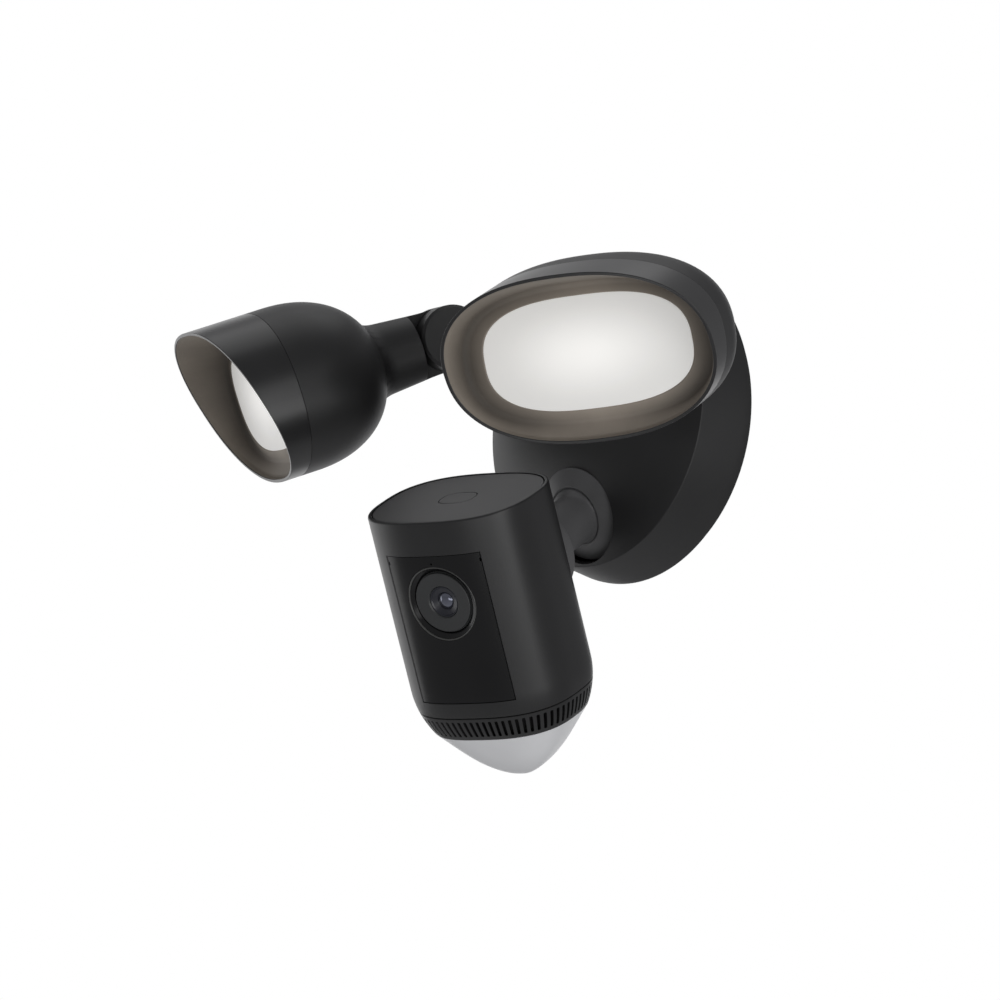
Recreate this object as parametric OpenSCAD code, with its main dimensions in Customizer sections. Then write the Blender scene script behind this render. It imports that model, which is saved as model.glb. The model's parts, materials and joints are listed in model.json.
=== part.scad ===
// Wall-mounted security camera with two floodlight heads.
// Millimetres. +Z is up, +Y points into the wall, the front faces -Y.
// The origin is the centre of the face that lies on the wall.

/* [Base] */
// Radius of the base where it meets the wall
base_r = 70; // [68:0.5:72]
// Radius of the crease around the front face
crease_r = 66; // [64:0.5:67]
// Distance of the crease from the wall
crease_depth = 28; // [26:0.5:30]
// Height of the domed front face over its crease
face_rise = 16; // [14:0.5:18]
// Thickness of the moulded walls
wall = 2.6; // [2.2:0.1:2.8]
// Thickness of the foam gasket on the wall
gasket_t = 3; // [2.8:0.1:3.2]
// Distance between the two junction box screws
box_screw_pitch = 88.9; // [86:0.1:90]
// Diameter of the junction box screw holes
box_screw_d = 4.8; // [4:0.1:5.5]

/* [Arms] */
// Sideways distance of the knuckle from the middle
knuckle_x = 64; // [63:0.5:66]
// Distance of the knuckle from the wall
knuckle_y = 60; // [58:0.5:62]
// Height of the knuckle over the middle of the base
knuckle_z = 35; // [34:0.5:36]
// Outward heading of the arm
arm_heading = 26.5; // [24:0.5:29]
// Turn of the arm in its shoulder
arm_roll = 6.2; // [0:0.1:10]
// Radius of the arm's shank
shank_r = 10.95; // [10.75:0.05:10.95]
// Radius of the knuckle's two round laps
lap_r = 14.2; // [13.8:0.1:14.4]

/* [Floodlight heads] */
// Downward tilt of the head at the knuckle
head_tilt = 23.3; // [15:0.1:28]
// Distance of the diffuser from the knuckle
lens_reach = 87; // [85:0.5:89]
// Half width of the hood
hood_a = 58.2; // [57:0.1:59]
// Half height of the hood
hood_b = 37; // [36:0.1:38]
// Half width of the diffuser
lens_a = 45.4; // [43:0.1:46]
// Half height of the diffuser
lens_b = 23.9; // [23.5:0.1:25]
// Distance from the diffuser to the middle of the hood's lip
lip_reach = 13.7; // [13:0.1:15]
// Slant of the hood's lip, longer at the top
lip_slant = 15.2; // [12:0.1:16]

/* [Camera] */
// Distance of the ball joint's centre from the wall
ball_y = 33; // [32.5:0.1:33.5]
// Depth of the ball joint's centre under the middle of the base
ball_z = 43.5; // [43:0.1:44]
// Radius of the ball
ball_r = 13.2; // [13:0.1:13.4]
// Downward tilt of the ball's socket
socket_tilt = 27; // [24:0.5:30]
// Heading of the camera towards +X
cam_heading = 14; // [5:0.5:20]
// Downward pitch of the camera
cam_pitch = 30; // [25:0.5:34]
// Distance from the ball to the barrel's axis
cam_reach = 86.3; // [85:0.1:88]
// Height of the lid over the stalk
cam_top = 40; // [38:0.5:42]
// Half width of the barrel
barrel_a = 38.2; // [37.5:0.1:39]
// Half depth of the barrel
barrel_b = 30; // [29.5:0.1:30.5]
// Length of the barrel from the lid to its lower seam
barrel_h = 87.6; // [87:0.1:88]
// Half width of the front panel
panel_a = 23.4; // [22:0.1:24]
// Distance of the panel's upper edge under the lid
panel_top = 14.8; // [13:0.1:16]
// Distance of the panel's lower edge under the lid
panel_bottom = 80.6; // [79:0.1:82]
// Distance of the lens under the lid
eye_drop = 36; // [35:0.5:37]
// Radius of the lens ring
eye_r = 16.3; // [15.5:0.1:17]
// Distance of the dome's edge under the lid
dome_top = 98.9; // [98.5:0.1:99.5]
// Length of the motion sensor's dome
dome_h = 25; // [22:0.1:25]
// Travel of the button in the lid
button_travel = 0.6; // [0.4:0.1:0.7]

/* [Hidden] */
$fn = 96;

// Clearances: a running fit, a gap between moving bodies and a gap between fixed mouldings
fit = 0.05;
gap = 0.3;
seat = 0.1;
// An amount by which cutters pass the faces they cut
over = 1;
// Thickness of the slices that a hull joins
slice = 0.02;

// Colours of the mouldings and of what they hold
black = [0.10, 0.10, 0.11];
satin = [0.14, 0.14, 0.15];
gloss = [0.04, 0.04, 0.05];
taupe = [0.62, 0.59, 0.56];
white = [0.95, 0.95, 0.94];
steel = [0.70, 0.71, 0.72];
board_green = [0.10, 0.35, 0.18];
rubber_black = [0.07, 0.07, 0.07];

// Base: the dome's sphere passes the crease and the top of the face
face_depth = crease_depth + face_rise;
face_sphere_r = (crease_r * crease_r + face_rise * face_rise) / (2 * face_rise);
flank_start = 5;
flank_slope = (base_r - crease_r) / (crease_depth - flank_start);
gasket_inner_r = 62;
gasket_slack = 0.2;
plate_z = 10.6;
plate_t = 2;
plate_r = base_r - wall - (plate_z + plate_t - flank_start) * flank_slope - 0.3;
post_radius = 57;
post_r = 4;
post_angles = [90, 210, 330];
plate_screw_r = 1.5;
bracket_t = 2.5;
bracket_l = 116;
bracket_w = 26;
bracket_turn = 60;
bracket_hole_r = 7;
bracket_hole_at = 22;
ear_h = 9.6;
base_screw_z = 6.8;
base_screw_r = 2;
base_screw_l = 14;
base_screw_head = [3.2, 1];
base_screw_sink = 0.5;
plate_screw_l = 9;
plate_screw_head = [3, 2];
flange_r = 2;
flange_t = 1.5;
grommet_at = [26, -21];
grommet_r = 6;
wire_r = 3.4;
terminal_at = [-26, 21];
ways = 3;
way_pitch = 9;
way_r = 2.4;
driver_at = [-28, -8];
driver_size = [56, 52];
foot_h = 2;
board_t = 1.6;

// Shoulders, measured back from the knuckle along the arm
shoulder_r = 15;
shoulder_front = 25;
shoulder_back = 40;
collar_r = 14;
collar_t = 6;
thread_r = 3;
nut_r = 5.8;
nut_t = 4.4;
web_t = 3;
lap_t = 13.2;
lap_cut_r = lap_r + 0.8;
pivot_r = 4;
pivot_head_r = 6.5;
pivot_head_t = 3.5;
pivot_depth = 9;

// Head: the back shell is a bowl from the hood's seam to the neck
hood_n = 2.3;
lens_n = 2.7;
hood_t = 2;
seam_back = 3.6;
bowl_front = 75;
bowl_depth = 41;
bowl_power = 2.2;
bowl_stations = [34.4, 35.5, 38, 42, 48, 56, 66];
bowl_points = 48;
neck_root_r = 16.5;
neck_start = 9;
neck_root = 38;
spigot_neck_r = 9;
spigot_neck_h = 6;
lip_inset = 2.2;
frame_w = 2;
frame_t = 1.5;
diffuser_t = 2;
led_plate_z = -6.6;
led_plate_t = 1.6;
led_columns = 6;
led_rows = 3;
led_pitch = [12, 12];
led_size = 3.5;
led_t = 0.8;
sink_a = 40;
sink_b = 20;
sink_t = 3;
sink_rim = 1.8;
fin_count = 9;
fin_h = 14;
fin_t = 1.6;

// Ball joint
ring_r = 20.8;
ring_t = 4.4;
ring_edge = 0.8;
ring_mouth_r = 13.6;
boss_h = 10;
ring_spigot_r = 18.2;
ring_spigot_h = 6;
liner_r = 16;
liner_edge = -10.5;
cup_r = 18;
stalk_r = 10.9;
stalk_foot_r = 11.6;
stalk_flare = 14;
pad_r = 22;
pad_back = 42.3;
pad_face = cam_reach - pad_back;
spigot_r = 6;
spigot_end = cam_reach - barrel_b - 2;
swivel_screw_r = 2;
swivel_screw_l = 12;
swivel_screw_head = [8.5, 3];
pad_screw_at = 15;
pad_screw_r = 1.5;
pad_screw_l = 9;
pad_screw_head = [3, 1.8];
pad_boss_r = 4.4;
pad_boss_start = cam_reach - barrel_b + 1.7;
pad_boss_end = cam_reach - barrel_b + 4.1;

// Camera barrel
barrel_n = 2.7;
barrel_points = 72;
taper_start = 78;
taper_end = 0.973;
grille_mid = 0.928;
grille_mid_drop = 4.9;
grille_end = 0.85;
rim_t = 1.5;
groove = 0.4;
lid_t = 2.4;
lid_drop = 0.2;
button_scale = 0.21;
button_gap = 0.15;
panel_t = 2.2;
panel_drop = 0.25;
panel_gap = 0.15;
panel_cut = 12;
button_rise = 0.1;
button_flange = 1.4;
button_flange_t = 1.7;
button_stem = 1;
switch_r = 1.8;
switch_t = 1;
switch_body = [6, 9.5, 3];
eye_back = 21;
bezel_t = 7.9;
bezel_bore = 14;
bezel_mouth = 15.6;
bezel_bevel = 1;
disc_t = 6.9;
disc_mouth = 7.6;
disc_bevel = 0.5;
tube_r = 7;
tube_back = 12;
tube_l = 14.9;
tube_floor = 4;
glass_r = 4.5;
glass_curve = 7;
glass_top = 26.6;
glass_t = 4.5;
sensor_w = 22;
board_front = 4;
board_w = 54;
board_down = 28;
speaker_plate = 2;
speaker_r = 18;
basket_h = 6;
magnet_r = 9;
magnet_h = 4;
slot_count = 70;
slot_w = 1.3;
slot_h = 8;
slot_drop = 2;
can_r = 4.1;
can_h = 5;
can_rim_r = 4.7;
can_rim_t = 0.6;
dome_scale = 0.84;
dome_wall = 1.8;
dome_slope = 0.66;
dome_round = 5;
switch_top = -lid_drop - lid_t - seat - button_flange_t - button_travel - seat;
board_up = eye_drop + switch_top - switch_t - switch_body[2];
dome_steps = [0, 0.2, 0.4, 0.6, 0.72, 0.82, 0.9, 0.95, 0.98, 0.995];

// Points of a superellipse with half axes a and b and the power n
function squircle(a, b, n, count) = [
    for (i = [0 : count - 1])
        let (c = cos(360 * i / count), s = sin(360 * i / count))
            [a * sign(c) * pow(abs(c), 2 / n), b * sign(s) * pow(abs(s), 2 / n)]];

// Distance from the middle of a superellipse to its edge, in the direction of an angle
function squircle_radius(a, b, n, angle) =
    pow(pow(abs(cos(angle)) / a, n) + pow(abs(sin(angle)) / b, n), -1 / n);

// Direction of the outward normal of a superellipse at the point [x, y]
function squircle_normal(a, b, n, x, y) =
    atan2(sign(y) * pow(abs(y) / b, n - 1) / b, sign(x) * pow(abs(x) / a, n - 1) / a);

// Share of the hood's size that the bowl has at a distance z from the knuckle
function bowl_share(z) = pow(1 - pow((bowl_front - z) / bowl_depth, bowl_power), 1 / bowl_power);

// Share of the dome's rim that the dome has at a share u of its length
function dome_share(u) = (1 - dome_slope * u) * sqrt(1 - pow(u, dome_round));

// Outline of the grille's lower end, drawn inwards by an inset
function grille_floor(inset) =
    squircle(barrel_a * grille_end - inset, barrel_b * grille_end - inset, barrel_n, barrel_points);

// Outline of a piece that follows the diffuser, drawn outwards by a margin
function around_lens(margin) = squircle(lens_a + margin, lens_b + margin, lens_n, bowl_points);

// Outline of a piece that follows the hood, drawn inwards by an inset
function within_hood(inset, count) = squircle(hood_a - inset, hood_b - inset, hood_n, count);

// Frames in which the pieces are drawn
module wall_frame() {
    rotate([90, 0, 0])
        children();
}

module arm_frame() {
    translate([knuckle_x, -knuckle_y, knuckle_z])
        rotate([90, 0, arm_heading])
            rotate([0, 0, arm_roll])
                children();
}

module head_frame() {
    arm_frame()
        rotate([head_tilt, 0, 0])
            children();
}

module lens_frame() {
    head_frame()
        translate([0, 0, lens_reach])
            children();
}

module socket_frame() {
    translate([0, -ball_y, -ball_z])
        rotate([90 + socket_tilt, 0, 0])
            children();
}

module stalk_frame() {
    translate([0, -ball_y, -ball_z])
        rotate([cam_pitch, 0, cam_heading])
            rotate([90, 0, 0])
                children();
}

module barrel_frame() {
    translate([0, -ball_y, -ball_z])
        rotate([cam_pitch, 0, cam_heading])
            translate([0, -cam_reach, cam_top])
                children();
}

module eye_frame() {
    barrel_frame()
        translate([0, 0, -eye_drop])
            rotate([90, 0, 0])
                children();
}

module on_left() {
    mirror([1, 0, 0])
        children();
}

// Shapes that repeat
module tube(outer, inner, height) {
    difference() {
        cylinder(r = outer, h = height);
        translate([0, 0, -over])
            cylinder(r = inner, h = height + 2 * over);
    }
}

module screw(shaft_r, shaft_l, head_r, head_t) {
    cylinder(r = head_r, h = head_t);
    translate([0, 0, head_t - slice])
        cylinder(r = shaft_r, h = shaft_l + slice);
}

module flat(points, height) {
    linear_extrude(height)
        polygon(points);
}

// Base
module base_solid(inset) {
    intersection() {
        union() {
            cylinder(r = base_r - inset, h = flank_start);
            translate([0, 0, flank_start])
                cylinder(r1 = base_r - inset, r2 = base_r - inset - (face_depth - flank_start) * flank_slope,
                         h = face_depth - flank_start);
        }
        translate([0, 0, face_depth - face_sphere_r])
            sphere(r = face_sphere_r - inset, $fn = 128);
    }
}

module at_posts() {
    for (a = post_angles)
        rotate([0, 0, a])
            translate([post_radius, 0, plate_z + plate_t])
                children();
}

module at_base_screws() {
    for (a = [0, 180])
        rotate([0, 0, bracket_turn + a])
            translate([base_r, 0, base_screw_z])
                rotate([0, -90, 0])
                    children();
}

module shoulder(radius, front, back) {
    arm_frame()
        translate([0, 0, -back])
            cylinder(r = radius, h = back - front);
}

module wall_gasket() {
    color(rubber_black)
        wall_frame()
            tube(base_r - wall - gasket_slack, gasket_inner_r, gasket_t);
}

module mounting_bracket() {
    color(steel)
        wall_frame()
            rotate([0, 0, bracket_turn])
                difference() {
                    union() {
                        translate([-bracket_l / 2, -bracket_w / 2, 0])
                            cube([bracket_l, bracket_w, bracket_t]);
                        for (m = [0, 180])
                            rotate([0, 0, m])
                                translate([bracket_l / 2 - bracket_t, -bracket_w / 4, 0])
                                    cube([bracket_t, bracket_w / 2, ear_h]);
                    }
                    for (x = [-box_screw_pitch / 2, box_screw_pitch / 2])
                        translate([x, 0, -over])
                            cylinder(d = box_screw_d, h = bracket_t + 2 * over);
                    translate([bracket_hole_at, 0, -over])
                        cylinder(r = bracket_hole_r, h = bracket_t + 2 * over);
                    translate([-bracket_l / 2 - over, 0, base_screw_z])
                        rotate([0, 90, 0])
                            cylinder(r = base_screw_r, h = bracket_l + 2 * over);
                }
}

module base_screws() {
    color(steel)
        wall_frame()
            at_base_screws()
                translate([0, 0, base_screw_sink])
                    screw(base_screw_r, base_screw_l, base_screw_head[0], base_screw_head[1]);
}

module arm_bore() {
    shoulder(shank_r + fit, shoulder_front - over, shoulder_back - web_t);
    shoulder(thread_r + fit, shoulder_front, shoulder_back + over);
}

module base_housing() {
    color(black)
        difference() {
            union() {
                difference() {
                    wall_frame()
                        base_solid(0);
                    wall_frame()
                        base_solid(wall);
                }
                socket_frame()
                    translate([0, 0, -boss_h])
                        cylinder(r = ring_r, h = boss_h);
                shoulder(shoulder_r, shoulder_front, shoulder_back);
                on_left()
                    shoulder(shoulder_r, shoulder_front, shoulder_back);
                socket_frame()
                    sphere(r = cup_r);
                wall_frame()
                    intersection() {
                        at_posts()
                            cylinder(r = post_r, h = face_depth);
                        base_solid(wall / 2);
                    }
            }
            wall_frame()
                translate([0, 0, -over])
                    cylinder(r = base_r + over, h = gasket_t + over);
            arm_bore();
            on_left()
                arm_bore();
            socket_frame() {
                sphere(r = liner_r + gap);
                translate([0, 0, -ring_spigot_h - seat])
                    cylinder(r = ring_spigot_r + seat, h = ring_spigot_h + face_depth);
                cylinder(r = ring_r + over, h = face_depth);
            }
            wall_frame() {
                at_posts()
                    translate([0, 0, -over])
                        cylinder(r = plate_screw_r, h = plate_screw_l + over);
                at_base_screws() {
                    translate([0, 0, -over])
                        cylinder(r = base_screw_r + gap, h = base_screw_l);
                    translate([0, 0, -over])
                        cylinder(r = base_screw_head[0] + gap,
                                 h = over + base_screw_sink + base_screw_head[1] + slice);
                }
            }
        }
}

module back_plate() {
    color(black)
        wall_frame()
            difference() {
                translate([0, 0, plate_z])
                    cylinder(r = plate_r, h = plate_t);
                at_posts()
                    translate([0, 0, -plate_t - over])
                        cylinder(r = plate_screw_r + gap, h = plate_t + 2 * over);
                translate([grommet_at[0], grommet_at[1], plate_z - over])
                    cylinder(r = grommet_r, h = plate_t + 2 * over);
            }
}

module back_plate_screws() {
    color(steel)
        wall_frame()
            at_posts()
                translate([0, 0, -plate_t - plate_screw_head[1]])
                    screw(plate_screw_r, plate_screw_l, plate_screw_head[0], plate_screw_head[1]);
}

module wire_grommet() {
    color(rubber_black)
        wall_frame()
            translate([grommet_at[0], grommet_at[1], plate_z - flange_t])
                difference() {
                    union() {
                        cylinder(r = grommet_r + flange_r, h = flange_t);
                        cylinder(r = grommet_r, h = plate_t + 2 * flange_t);
                        translate([0, 0, plate_t + flange_t])
                            cylinder(r = grommet_r + flange_r, h = flange_t);
                    }
                    translate([0, 0, -over])
                        cylinder(r = wire_r, h = plate_t + 2 * flange_t + 2 * over);
                }
}

module terminal_block() {
    block = [ways * way_pitch, 12, 7];
    color(white)
        wall_frame()
            translate([terminal_at[0], terminal_at[1], plate_z - block[2]])
                difference() {
                    translate([-block[0] / 2, -block[1] / 2, 0])
                        cube(block);
                    for (i = [0 : ways - 1])
                        translate([(i - (ways - 1) / 2) * way_pitch, 0, -over])
                            cylinder(r = way_r, h = block[2] / 2 + over);
                }
}

module driver_board() {
    color(board_green)
        wall_frame()
            translate([driver_at[0], driver_at[1], plate_z + plate_t + foot_h])
                cube([driver_size[0], driver_size[1], board_t]);
}

module driver_parts() {
    transformer = [20, 18, 12];
    filter = [16, 12, 8];
    chip = [3, 7, 3];
    can_r = 5;
    can_h = 14;
    foot_r = 2;
    foot_inset = 4;
    color("dimgray")
        wall_frame()
            translate([driver_at[0], driver_at[1], plate_z + plate_t]) {
                translate([0, 0, foot_h + board_t]) {
                    translate([6, 10, 0])
                        cube(transformer);
                    translate([30, 30, 0])
                        cube(filter);
                    for (x = [36, 48])
                        translate([x, 16, 0])
                            cylinder(r = can_r, h = can_h);
                    for (x = [8, 13, 18, 23])
                        translate([x, 38, 0])
                            cube(chip);
                }
                for (x = [foot_inset, driver_size[0] - foot_inset])
                    for (y = [foot_inset, driver_size[1] - foot_inset])
                        translate([x, y, 0])
                            cylinder(r = foot_r, h = foot_h);
            }
}

module socket_ring() {
    color(black)
        socket_frame()
            difference() {
                union() {
                    cylinder(r = ring_r, h = ring_edge + slice);
                    translate([0, 0, ring_edge])
                        cylinder(r1 = ring_r, r2 = ring_mouth_r, h = ring_t - ring_edge);
                    translate([0, 0, -ring_spigot_h])
                        cylinder(r = ring_spigot_r, h = ring_spigot_h + slice);
                }
                sphere(r = ball_r + fit);
                translate([0, 0, -ring_spigot_h - over])
                    cylinder(r = liner_r + 2 * gap, h = ring_spigot_h + over);
            }
}

module ball_liner() {
    color(rubber_black)
        socket_frame()
            difference() {
                sphere(r = liner_r);
                sphere(r = ball_r + fit);
                translate([0, 0, liner_edge])
                    cylinder(r = liner_r + over, h = 2 * liner_r);
            }
}

// Camera on its stalk
module camera_stalk() {
    color(satin)
        stalk_frame()
            difference() {
                union() {
                    sphere(r = ball_r);
                    cylinder(r = stalk_r, h = pad_face - stalk_flare);
                    translate([0, 0, pad_face - stalk_flare - slice])
                        cylinder(r1 = stalk_r, r2 = stalk_foot_r, h = stalk_flare - gap);
                    cylinder(r = spigot_r, h = spigot_end);
                }
                translate([0, 0, spigot_end - swivel_screw_l])
                    cylinder(r = swivel_screw_r, h = swivel_screw_l + over);
            }
}

module swivel_screw() {
    color(steel)
        stalk_frame()
            translate([0, 0, cam_reach - barrel_b + gap + swivel_screw_head[1]])
                mirror([0, 0, 1])
                    screw(swivel_screw_r, swivel_screw_l, swivel_screw_head[0], swivel_screw_head[1]);
}

module at_pad_screws() {
    for (a = [90, 210, 330])
        rotate([0, 0, a])
            translate([pad_screw_at, 0, 0])
                children();
}

module swivel_pad() {
    color(black)
        difference() {
            stalk_frame()
                difference() {
                    translate([0, 0, pad_face])
                        cylinder(r = pad_r, h = pad_back / 2);
                    translate([0, 0, pad_face - over])
                        cylinder(r = spigot_r + fit, h = pad_back);
                    translate([0, 0, pad_boss_end - pad_screw_l])
                        at_pad_screws()
                            cylinder(r = pad_screw_r, h = pad_back);
                }
            barrel_frame()
                translate([0, 0, -barrel_h])
                    flat(squircle(barrel_a + seat, barrel_b + seat, barrel_n, barrel_points), barrel_h);
        }
}

module pad_screws() {
    color(steel)
        stalk_frame()
            translate([0, 0, pad_boss_end + pad_screw_head[1]])
                at_pad_screws()
                    mirror([0, 0, 1])
                        screw(pad_screw_r, pad_screw_l, pad_screw_head[0], pad_screw_head[1]);
}

module barrel_taper(inset) {
    hull() {
        translate([0, 0, -taper_start])
            flat(squircle(barrel_a - inset, barrel_b - inset, barrel_n, barrel_points), slice);
        translate([0, 0, -barrel_h])
            flat(squircle(barrel_a * taper_end - inset, barrel_b * taper_end - inset, barrel_n, barrel_points),
                 slice);
    }
}

module barrel_shell() {
    barrel_frame()
        difference() {
            union() {
                translate([0, 0, -taper_start])
                    flat(squircle(barrel_a, barrel_b, barrel_n, barrel_points), taper_start);
                barrel_taper(0);
            }
            translate([0, 0, -taper_start - slice])
                flat(squircle(barrel_a - wall, barrel_b - wall, barrel_n, barrel_points), taper_start + over);
            translate([0, 0, -slice])
                barrel_taper(wall);
            translate([0, 0, -lid_drop - lid_t])
                flat(squircle(barrel_a - rim_t, barrel_b - rim_t, barrel_n, barrel_points), lid_t + over);
            translate([-panel_a, -barrel_b - over, -panel_bottom])
                cube([2 * panel_a, panel_cut, panel_bottom - panel_top]);
        }
}

module camera_barrel() {
    color(black)
        difference() {
            union() {
                barrel_shell();
                stalk_frame()
                    translate([0, 0, pad_boss_start])
                        at_pad_screws()
                            cylinder(r = pad_boss_r, h = pad_boss_end - pad_boss_start);
            }
            stalk_frame()
                translate([0, 0, pad_face]) {
                    cylinder(r = swivel_screw_head[0] + over, h = pad_back / 2);
                    at_pad_screws()
                        cylinder(r = pad_screw_r + gap, h = pad_back / 2);
                }
        }
}

module camera_lid() {
    inset = rim_t + groove;
    color(satin)
        barrel_frame()
            difference() {
                translate([0, 0, -lid_drop - lid_t + seat / 2])
                    flat(squircle(barrel_a - inset, barrel_b - inset, barrel_n, barrel_points),
                         lid_t - seat / 2);
                translate([0, 0, -lid_drop - lid_t - over])
                    flat(squircle(barrel_a * button_scale + button_gap, barrel_b * button_scale + button_gap,
                                  barrel_n, barrel_points), lid_t + 2 * over);
            }
}

module lid_button() {
    foot = -lid_drop - lid_t - button_stem;
    a = barrel_a * button_scale;
    b = barrel_b * button_scale;
    color(satin)
        barrel_frame() {
            translate([0, 0, foot])
                flat(squircle(a, b, barrel_n, barrel_points), button_rise + lid_t + button_stem);
            translate([0, 0, foot + button_stem - button_flange_t - seat])
                flat(squircle(a + button_flange, b + button_flange, barrel_n, barrel_points), button_flange_t);
        }
}

module button_switch() {
    color("dimgray")
        barrel_frame()
            translate([0, 0, switch_top - switch_t]) {
                cylinder(r = switch_r, h = switch_t);
                translate([-switch_body[0] / 2, switch_body[0] / 2 - switch_body[1], -switch_body[2]])
                    cube([switch_body[0], switch_body[1], switch_body[2] + slice]);
            }
}

module front_panel() {
    inner = panel_drop + panel_t;
    color(gloss)
        barrel_frame()
            difference() {
                intersection() {
                    translate([0, 0, -panel_bottom])
                        difference() {
                            flat(squircle(barrel_a - panel_drop, barrel_b - panel_drop, barrel_n,
                                          barrel_points), panel_bottom);
                            translate([0, 0, -over])
                                flat(squircle(barrel_a - inner, barrel_b - inner, barrel_n, barrel_points),
                                     panel_bottom + 2 * over);
                        }
                    translate([-panel_a + panel_gap, -barrel_b, -panel_bottom + panel_gap])
                        cube([2 * (panel_a - panel_gap), panel_cut, panel_bottom - panel_top - 2 * panel_gap]);
                }
                translate([0, 0, -eye_drop])
                    rotate([90, 0, 0])
                        cylinder(r = eye_r + seat, h = 2 * barrel_b);
            }
}

// Lens, drawn outwards from the barrel's axis
module lens_bezel() {
    color(gloss)
        eye_frame()
            translate([0, 0, eye_back])
                difference() {
                    cylinder(r = eye_r, h = bezel_t);
                    translate([0, 0, -over])
                        cylinder(r = bezel_bore, h = bezel_t + 2 * over);
                    translate([0, 0, bezel_t - bezel_bevel])
                        cylinder(r1 = bezel_bore, r2 = bezel_mouth, h = bezel_bevel + slice);
                }
}

module lens_disc() {
    color([0.22, 0.22, 0.23])
        eye_frame()
            translate([0, 0, eye_back])
                difference() {
                    cylinder(r = bezel_bore - seat, h = disc_t);
                    translate([0, 0, -over])
                        cylinder(r = tube_r + seat, h = disc_t + 2 * over);
                    translate([0, 0, disc_t - disc_bevel])
                        cylinder(r1 = tube_r + seat, r2 = disc_mouth, h = disc_bevel + slice);
                }
}

module lens_barrel() {
    color(gloss)
        eye_frame()
            translate([0, 0, tube_back])
                difference() {
                    cylinder(r = tube_r, h = tube_l);
                    translate([0, 0, tube_floor])
                        cylinder(r = glass_r + seat, h = tube_l);
                }
}

module lens_glass() {
    color("lightsteelblue")
        eye_frame()
            intersection() {
                translate([0, 0, glass_top - glass_curve])
                    sphere(r = glass_curve);
                translate([0, 0, glass_top - glass_t])
                    cylinder(r = glass_r, h = glass_t + over);
            }
}

module image_sensor() {
    color("dimgray")
        eye_frame()
            translate([-sensor_w / 2, -sensor_w / 2, board_front + board_t + seat])
                cube([sensor_w, sensor_w, tube_back - board_front - board_t - 2 * seat]);
}

module main_board() {
    color(board_green)
        eye_frame()
            translate([-board_w / 2, -board_down, board_front])
                cube([board_w, board_down + board_up, board_t]);
}

module speaker() {
    color("dimgray")
        barrel_frame()
            translate([0, 0, -barrel_h]) {
                flat(squircle(barrel_a * taper_end - wall - gap, barrel_b * taper_end - wall - gap, barrel_n,
                              barrel_points), speaker_plate);
                translate([0, 0, speaker_plate - slice])
                    cylinder(r1 = speaker_r, r2 = magnet_r, h = basket_h);
                translate([0, 0, speaker_plate + basket_h - 2 * slice])
                    cylinder(r = magnet_r, h = magnet_h);
            }
}

module grille_body(inset) {
    hull() {
        translate([0, 0, -barrel_h - seat - slice])
            flat(squircle(barrel_a * taper_end - inset, barrel_b * taper_end - inset, barrel_n, barrel_points),
                 slice);
        translate([0, 0, -barrel_h - grille_mid_drop])
            flat(squircle(barrel_a * grille_mid - inset, barrel_b * grille_mid - inset, barrel_n, barrel_points),
                 slice);
        translate([0, 0, -dome_top + seat])
            flat(grille_floor(inset), slice);
    }
}

module speaker_grille() {
    mid = (taper_end + grille_end) / 2;
    color(satin)
        barrel_frame()
            difference() {
                grille_body(0);
                translate([0, 0, -slice])
                    grille_body(wall);
                translate([0, 0, slice])
                    grille_body(wall);
                for (i = [0 : slot_count - 1]) {
                    angle = 360 * (i + 0.5) / slot_count;
                    reach = mid * squircle_radius(barrel_a, barrel_b, barrel_n, angle);
                    x = reach * cos(angle);
                    y = reach * sin(angle);
                    translate([x, y, -barrel_h - slot_drop - slot_h])
                        rotate([0, 0, squircle_normal(barrel_a, barrel_b, barrel_n, x, y)])
                            translate([-2 * wall, -slot_w / 2, 0])
                                cube([4 * wall, slot_w, slot_h]);
                }
            }
}

module sensor_board() {
    color(board_green)
        barrel_frame()
            translate([0, 0, -dome_top + over])
                flat(grille_floor(wall + gap), board_t);
}

module motion_sensor() {
    color(steel)
        barrel_frame()
            translate([0, 0, -dome_top + over - can_h]) {
                cylinder(r = can_r, h = can_h);
                translate([0, 0, can_h - can_rim_t])
                    cylinder(r = can_rim_r, h = can_rim_t);
            }
}

module dome_solid(inset, length) {
    hull()
        for (u = dome_steps)
            translate([0, 0, -dome_top - u * length])
                flat(squircle((barrel_a * dome_scale - inset) * dome_share(u),
                              (barrel_b * dome_scale - inset) * dome_share(u), barrel_n, bowl_points), slice);
}

module sensor_dome() {
    color(white)
        barrel_frame()
            difference() {
                dome_solid(0, dome_h);
                translate([0, 0, 2 * slice])
                    dome_solid(dome_wall, dome_h - dome_wall);
            }
}

// One floodlight arm, drawn for the right side
module arm() {
    color(black)
        arm_frame()
            difference() {
                union() {
                    translate([0, 0, -shoulder_back + web_t + gap])
                        cylinder(r = shank_r, h = shoulder_back - web_t - gap);
                    translate([0, 0, -shoulder_front + gap])
                        cylinder(r = collar_r, h = collar_t);
                    translate([0, 0, -shoulder_back - nut_t - over])
                        cylinder(r = thread_r, h = nut_t + web_t + 2 * over);
                    translate([-gap, 0, 0])
                        rotate([0, -90, 0])
                            cylinder(r = lap_r, h = lap_t);
                }
                translate([-gap, 0, 0])
                    rotate([0, 90, 0])
                        cylinder(r = lap_cut_r, h = 2 * lap_t);
                translate([-gap, -2 * lap_r, 0])
                    cube([2 * lap_r, 4 * lap_r, 2 * lap_r]);
                translate([-pivot_depth, 0, 0])
                    rotate([0, 90, 0])
                        cylinder(r = pivot_r, h = 2 * pivot_depth);
            }
}

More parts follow.
